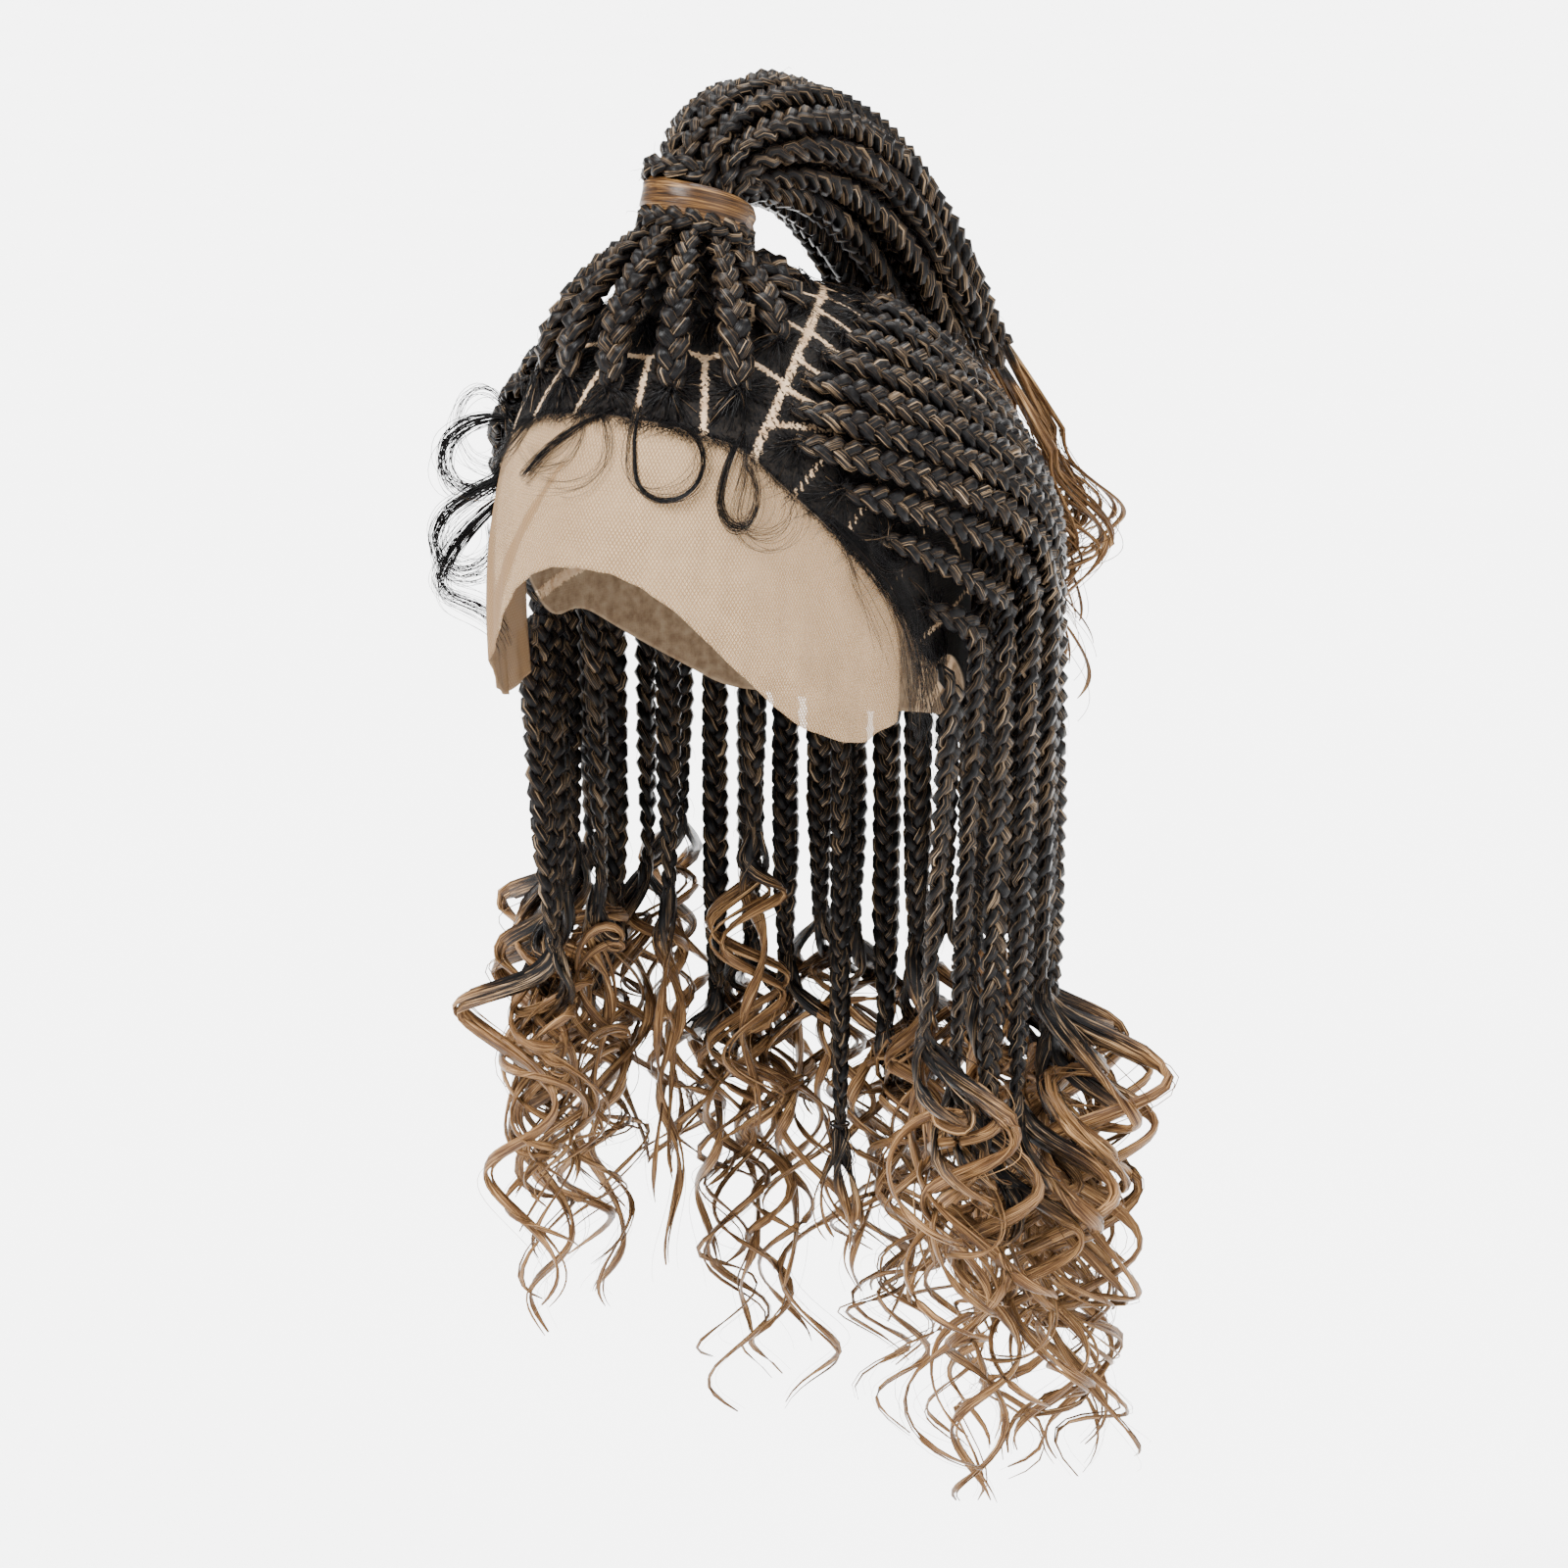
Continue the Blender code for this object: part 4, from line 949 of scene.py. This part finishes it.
lace = add_mesh(
    "hairline_lace",
    np.concatenate([outer.reshape(-1, 3), inner.reshape(-1, 3)]),
    [quads, inner_quads, np.stack([loop, loop + size, ahead + size, ahead], -1)],
    lace_finish,
    {"net": np.concatenate([net_map, net_map]), "doubled": np.tile(lace_twofold_and_shade.ravel(), 2)},
)
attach(lace, "root")
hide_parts("lace_front")
# The two diagonals of each of the cloth's outer faces, whose cross product is twice the face's area
corners = outer.reshape(-1, 3)[quads]
diagonals = corners[:, 2] - corners[:, 0], corners[:, 3] - corners[:, 1]

# ------------------------------------------------------------------ band of wound hair
# A smooth lock of honey-brown hair wound once round the ponytail to hide its elastic. It is built as a closed ring, so
# its tucked-in end is not shown.
WRAP_WIDTH, WRAP_THICKNESS, WRAP_EASE, WRAP_COLUMNS, WRAP_SIDES = 0.0130, 0.0024, 0.0014, 120, 28
WRAP_TONES = [
    (0.32, (0.006, 0.0024, 0.0007)),
    (0.44, (0.022, 0.0095, 0.0028)),
    (0.55, (0.055, 0.026, 0.0080)),
    (0.72, (0.17, 0.095, 0.034)),
]

wrap_finish = Finish("wrap_hair", Roughness=0.34, Specular_IOR_Level=0.12)
grain = wrap_finish.attribute("grain", "Vector")
fibres = wrap_finish.noise(wrap_finish.stretched(grain, (1500, 1500, 26)), 1.0, 3.0, 0.6)
wrap_finish.wire(
    Base_Color=wrap_finish.ramp(fibres, WRAP_TONES),
    Roughness=0.24 + 0.3 * fibres,
    Normal=wrap_finish.bump(fibres, 0.5, 0.0004),
)
middle, axis, _ = (value[0] for value in route_point(BAND_STOP))
across = np.array([1.0, 0, 0])
up = np.cross(across, axis)
inner = outer_radius + BUNDLE_BRAID / 2 + WRAP_EASE
turn = np.linspace(0, 2 * np.pi, WRAP_COLUMNS, endpoint=False)[:, None]
bend = np.linspace(0, 2 * np.pi, WRAP_SIDES, endpoint=False)
ridges = 0.00030 * np.sin(bend * 9 + 2.0 * np.sin(turn * 2)) + 0.00016 * np.sin(bend * 13 + 3 * turn)
squared = np.sign(np.sin(bend)) * np.abs(np.sin(bend)) ** 0.7
height = (0.5 * WRAP_WIDTH * (1 + 0.06 * np.sin(3 * turn))) * squared
radius = inner + WRAP_THICKNESS / 2 + (WRAP_THICKNESS / 2 + ridges) * np.cos(bend)
radius = radius - 0.0010 * np.abs(np.sin(bend)) ** 3
away = across * np.cos(turn)[..., None] + up * np.sin(turn)[..., None]
height = height - 0.13 * inner * np.cos(turn)
points = middle + away * radius[..., None] + axis * height[..., None]
flat = np.ones_like(height)
unrolled = np.stack([height, radius * flat, turn * inner * flat], -1).reshape(-1, 3)
index = np.arange(WRAP_COLUMNS * WRAP_SIDES).reshape(WRAP_COLUMNS, WRAP_SIDES)
after, beside = np.roll(index, -1, axis=0), np.roll(index, -1, axis=1)
quads = np.stack([index, after, np.roll(after, -1, axis=1), beside], -1).reshape(-1, 4)
wrap = add_mesh("wound_band", points, [quads], wrap_finish, {"grain": unrolled})
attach(wrap, "root")
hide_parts("hair_wrap")

# ------------------------------------------------------------------ baby hair
# Fine short hairs tied along the hairline and laid in loops on the lace. At the wearer's right temple they
# stand off the head in three loose rings, and by the left ear they hang in a wispy bundle.
HAIR_RADIUS = 0.00012


def arc(azimuth, drop, wide, tall, start, end):
    """Part of a ring on the brow: its middle, half sizes in degrees and drop, and angles from the right."""
    turn = np.radians(np.linspace(start, end, 26))
    return list(zip(azimuth + wide * np.cos(turn), drop + tall * np.sin(turn)))


def sheaf(path, count, spread, ring_change, radius=HAIR_RADIUS):
    """Hairs side by side along one path. Each is a little larger or smaller about the path's middle, and
    strays further from it towards its tip."""
    path = along_path(path, 0.0023)
    share = np.linspace(0, 1, len(path))[:, None]
    scale = 1 + hair.uniform(-ring_change, ring_change, (count, 1, 1)) * share
    middle = path.mean(0)
    stray = hair.normal(size=(count, 1, 3)) * spread * (0.35 + share)
    waves = hair.normal(size=(count, 1, 3)) * spread * 0.8
    stray = stray + waves * np.sin(share * hair.uniform(2, 6, (count, 1, 1)))
    paths = middle + (path - middle) * scale + stray
    thin = np.broadcast_to(radius * (1 - 0.55 * share[:, 0]), (count, len(path)))
    return tubes(paths, np.array([0.3, -0.8, 0.5]), thin, thin, 3, 0.25), -1.5


def on_brow(guide, lift):
    """Points on the lace from azimuths and drops, lifted more and more off it."""
    azimuth, drop = np.array(guide).T
    return head_point(azimuth, level_at(drop), np.linspace(0.0016, lift, len(guide)))


# The guide's azimuths and drops, its lift, count of hairs, spread and change of size
BROW_GUIDES = [
    ([(-79, 0.335), (-79, 0.42)] + arc(-68.5, 0.505, 8.8, 0.115, 180, -110), 0.0045, 40, 0.00034, 0.045),
    ([(-80, 0.335), (-80, 0.43)] + arc(-69.5, 0.50, 9.5, 0.10, 180, -60), 0.0045, 9, 0.0016, 0.15),
    ([(-50, 0.41), (-54, 0.50)] + arc(-51.5, 0.605, 4.4, 0.105, 180, -70), 0.0040, 34, 0.0007, 0.11),
    ([(-49, 0.42), (-50, 0.55)] + arc(-46.0, 0.63, 7.0, 0.110, 160, -40), 0.0040, 16, 0.0020, 0.3),
    (
        [(-87, 0.345), (-96, 0.40), (-106, 0.49), (-112, 0.57)]
        + [(-113.5, 0.60), (-111, 0.59), (-104, 0.49), (-96, 0.42)],
        *(0.0040, 24, 0.0009, 0.08),
    ),
    ([(-92, 0.345), (-86, 0.42), (-84, 0.50), (-88, 0.57), (-96, 0.60), (-106, 0.60)], 0.0050, 9, 0.0020, 0.3),
    ([(-100, 0.35), (-94, 0.43), (-97, 0.52), (-106, 0.56), (-114, 0.50)], 0.0045, 9, 0.0018, 0.3),
    (arc(-14.5, 0.80, 7.0, 0.09, -100, 190), 0.0065, 26, 0.0012, 0.15),
    ([(-30, 0.70), (-23, 0.81), (-16, 0.93), (-10, 1.07), (-7, 1.22), (-4, 1.38), (-1, 1.52)], 0.0075, 70, 0.0026, 0.2),
    ([(-20, 0.83), (-13, 0.97), (-8, 1.12), (-7, 1.28), (-9, 1.42)], 0.0075, 30, 0.0022, 0.3),
    ([(-27, 0.75), (-24, 0.90), (-20, 1.04), (-18, 1.14)], 0.0040, 9, 0.0016, 0.3),
    ([(-120, 0.41), (-124, 0.50), (-131, 0.58), (-138, 0.60)], 0.0060, 16, 0.0014, 0.3),
]
# The rings that stand off the right temple, in millimetres right and up from where they start
TEMPLE_RINGS = [
    [(2, 0), (-6, 2), (-15, 0), (-23, -6), (-25, -15), (-21, -22), (-13, -24), (-6, -21), (-1, -16)],
    [(2, -13), (-6, -20), (-15, -25), (-24, -31), (-28, -40)]
    + [(-26, -48), (-20, -53), (-11, -51), (-6, -45), (-7, -36)],
    [(1, -22), (-9, -30), (-18, -39), (-24, -48), (-27, -55), (-24, -60), (-15, -63), (-8, -67), (-6, -73)],
    [(2, -3), (-5, 10), (-11, 12), (-17, 7), (-19, -3), (-14, -14), (-4, -17)],
]
groups = [sheaf(on_brow(guide, lift), *amounts) for guide, lift, *amounts in BROW_GUIDES]
temple = head_point(-141.0, level_at(0.47), 0.001)
for k, ring in enumerate(TEMPLE_RINGS):
    right, rise = np.array(ring).T / 1000
    path = temple + right[:, None] * to_right + rise[:, None] * np.array([0, 0, 1.0])
    groups.append(sheaf(path, 56 if k < 3 else 14, 0.0015, 0.20, 0.00015))
EDGE_HAIRS = 900
short = hair.uniform(0, 1, EDGE_HAIRS)
edge_azimuths = blend(-150, 5, short)
edge_drops = eased(CAP_EDGE, edge_azimuths) + hair.uniform(-0.02, 0.012, EDGE_HAIRS)
share = np.linspace(0, 1, 4)[None, :]
lean = hair.normal(size=(EDGE_HAIRS, 1)) * 3.0
grown = hair.uniform(0.015, 0.050, (EDGE_HAIRS, 1))
levels = level_at(edge_drops[:, None] + grown * share)
paths = head_point(edge_azimuths[:, None] + lean * share, levels, 0.0012 + 0.0016 * share)
thin = np.broadcast_to(HAIR_RADIUS * (1 - 0.6 * share), (EDGE_HAIRS, 4))
groups.append((tubes(paths, np.array([0.3, -0.8, 0.5]), thin, thin, 3, 0.25), -1.5))
points, faces, attributes = joined(groups)
baby_hair = add_mesh("baby_hair", points, faces, braid_finish, attributes)
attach(baby_hair, "root")
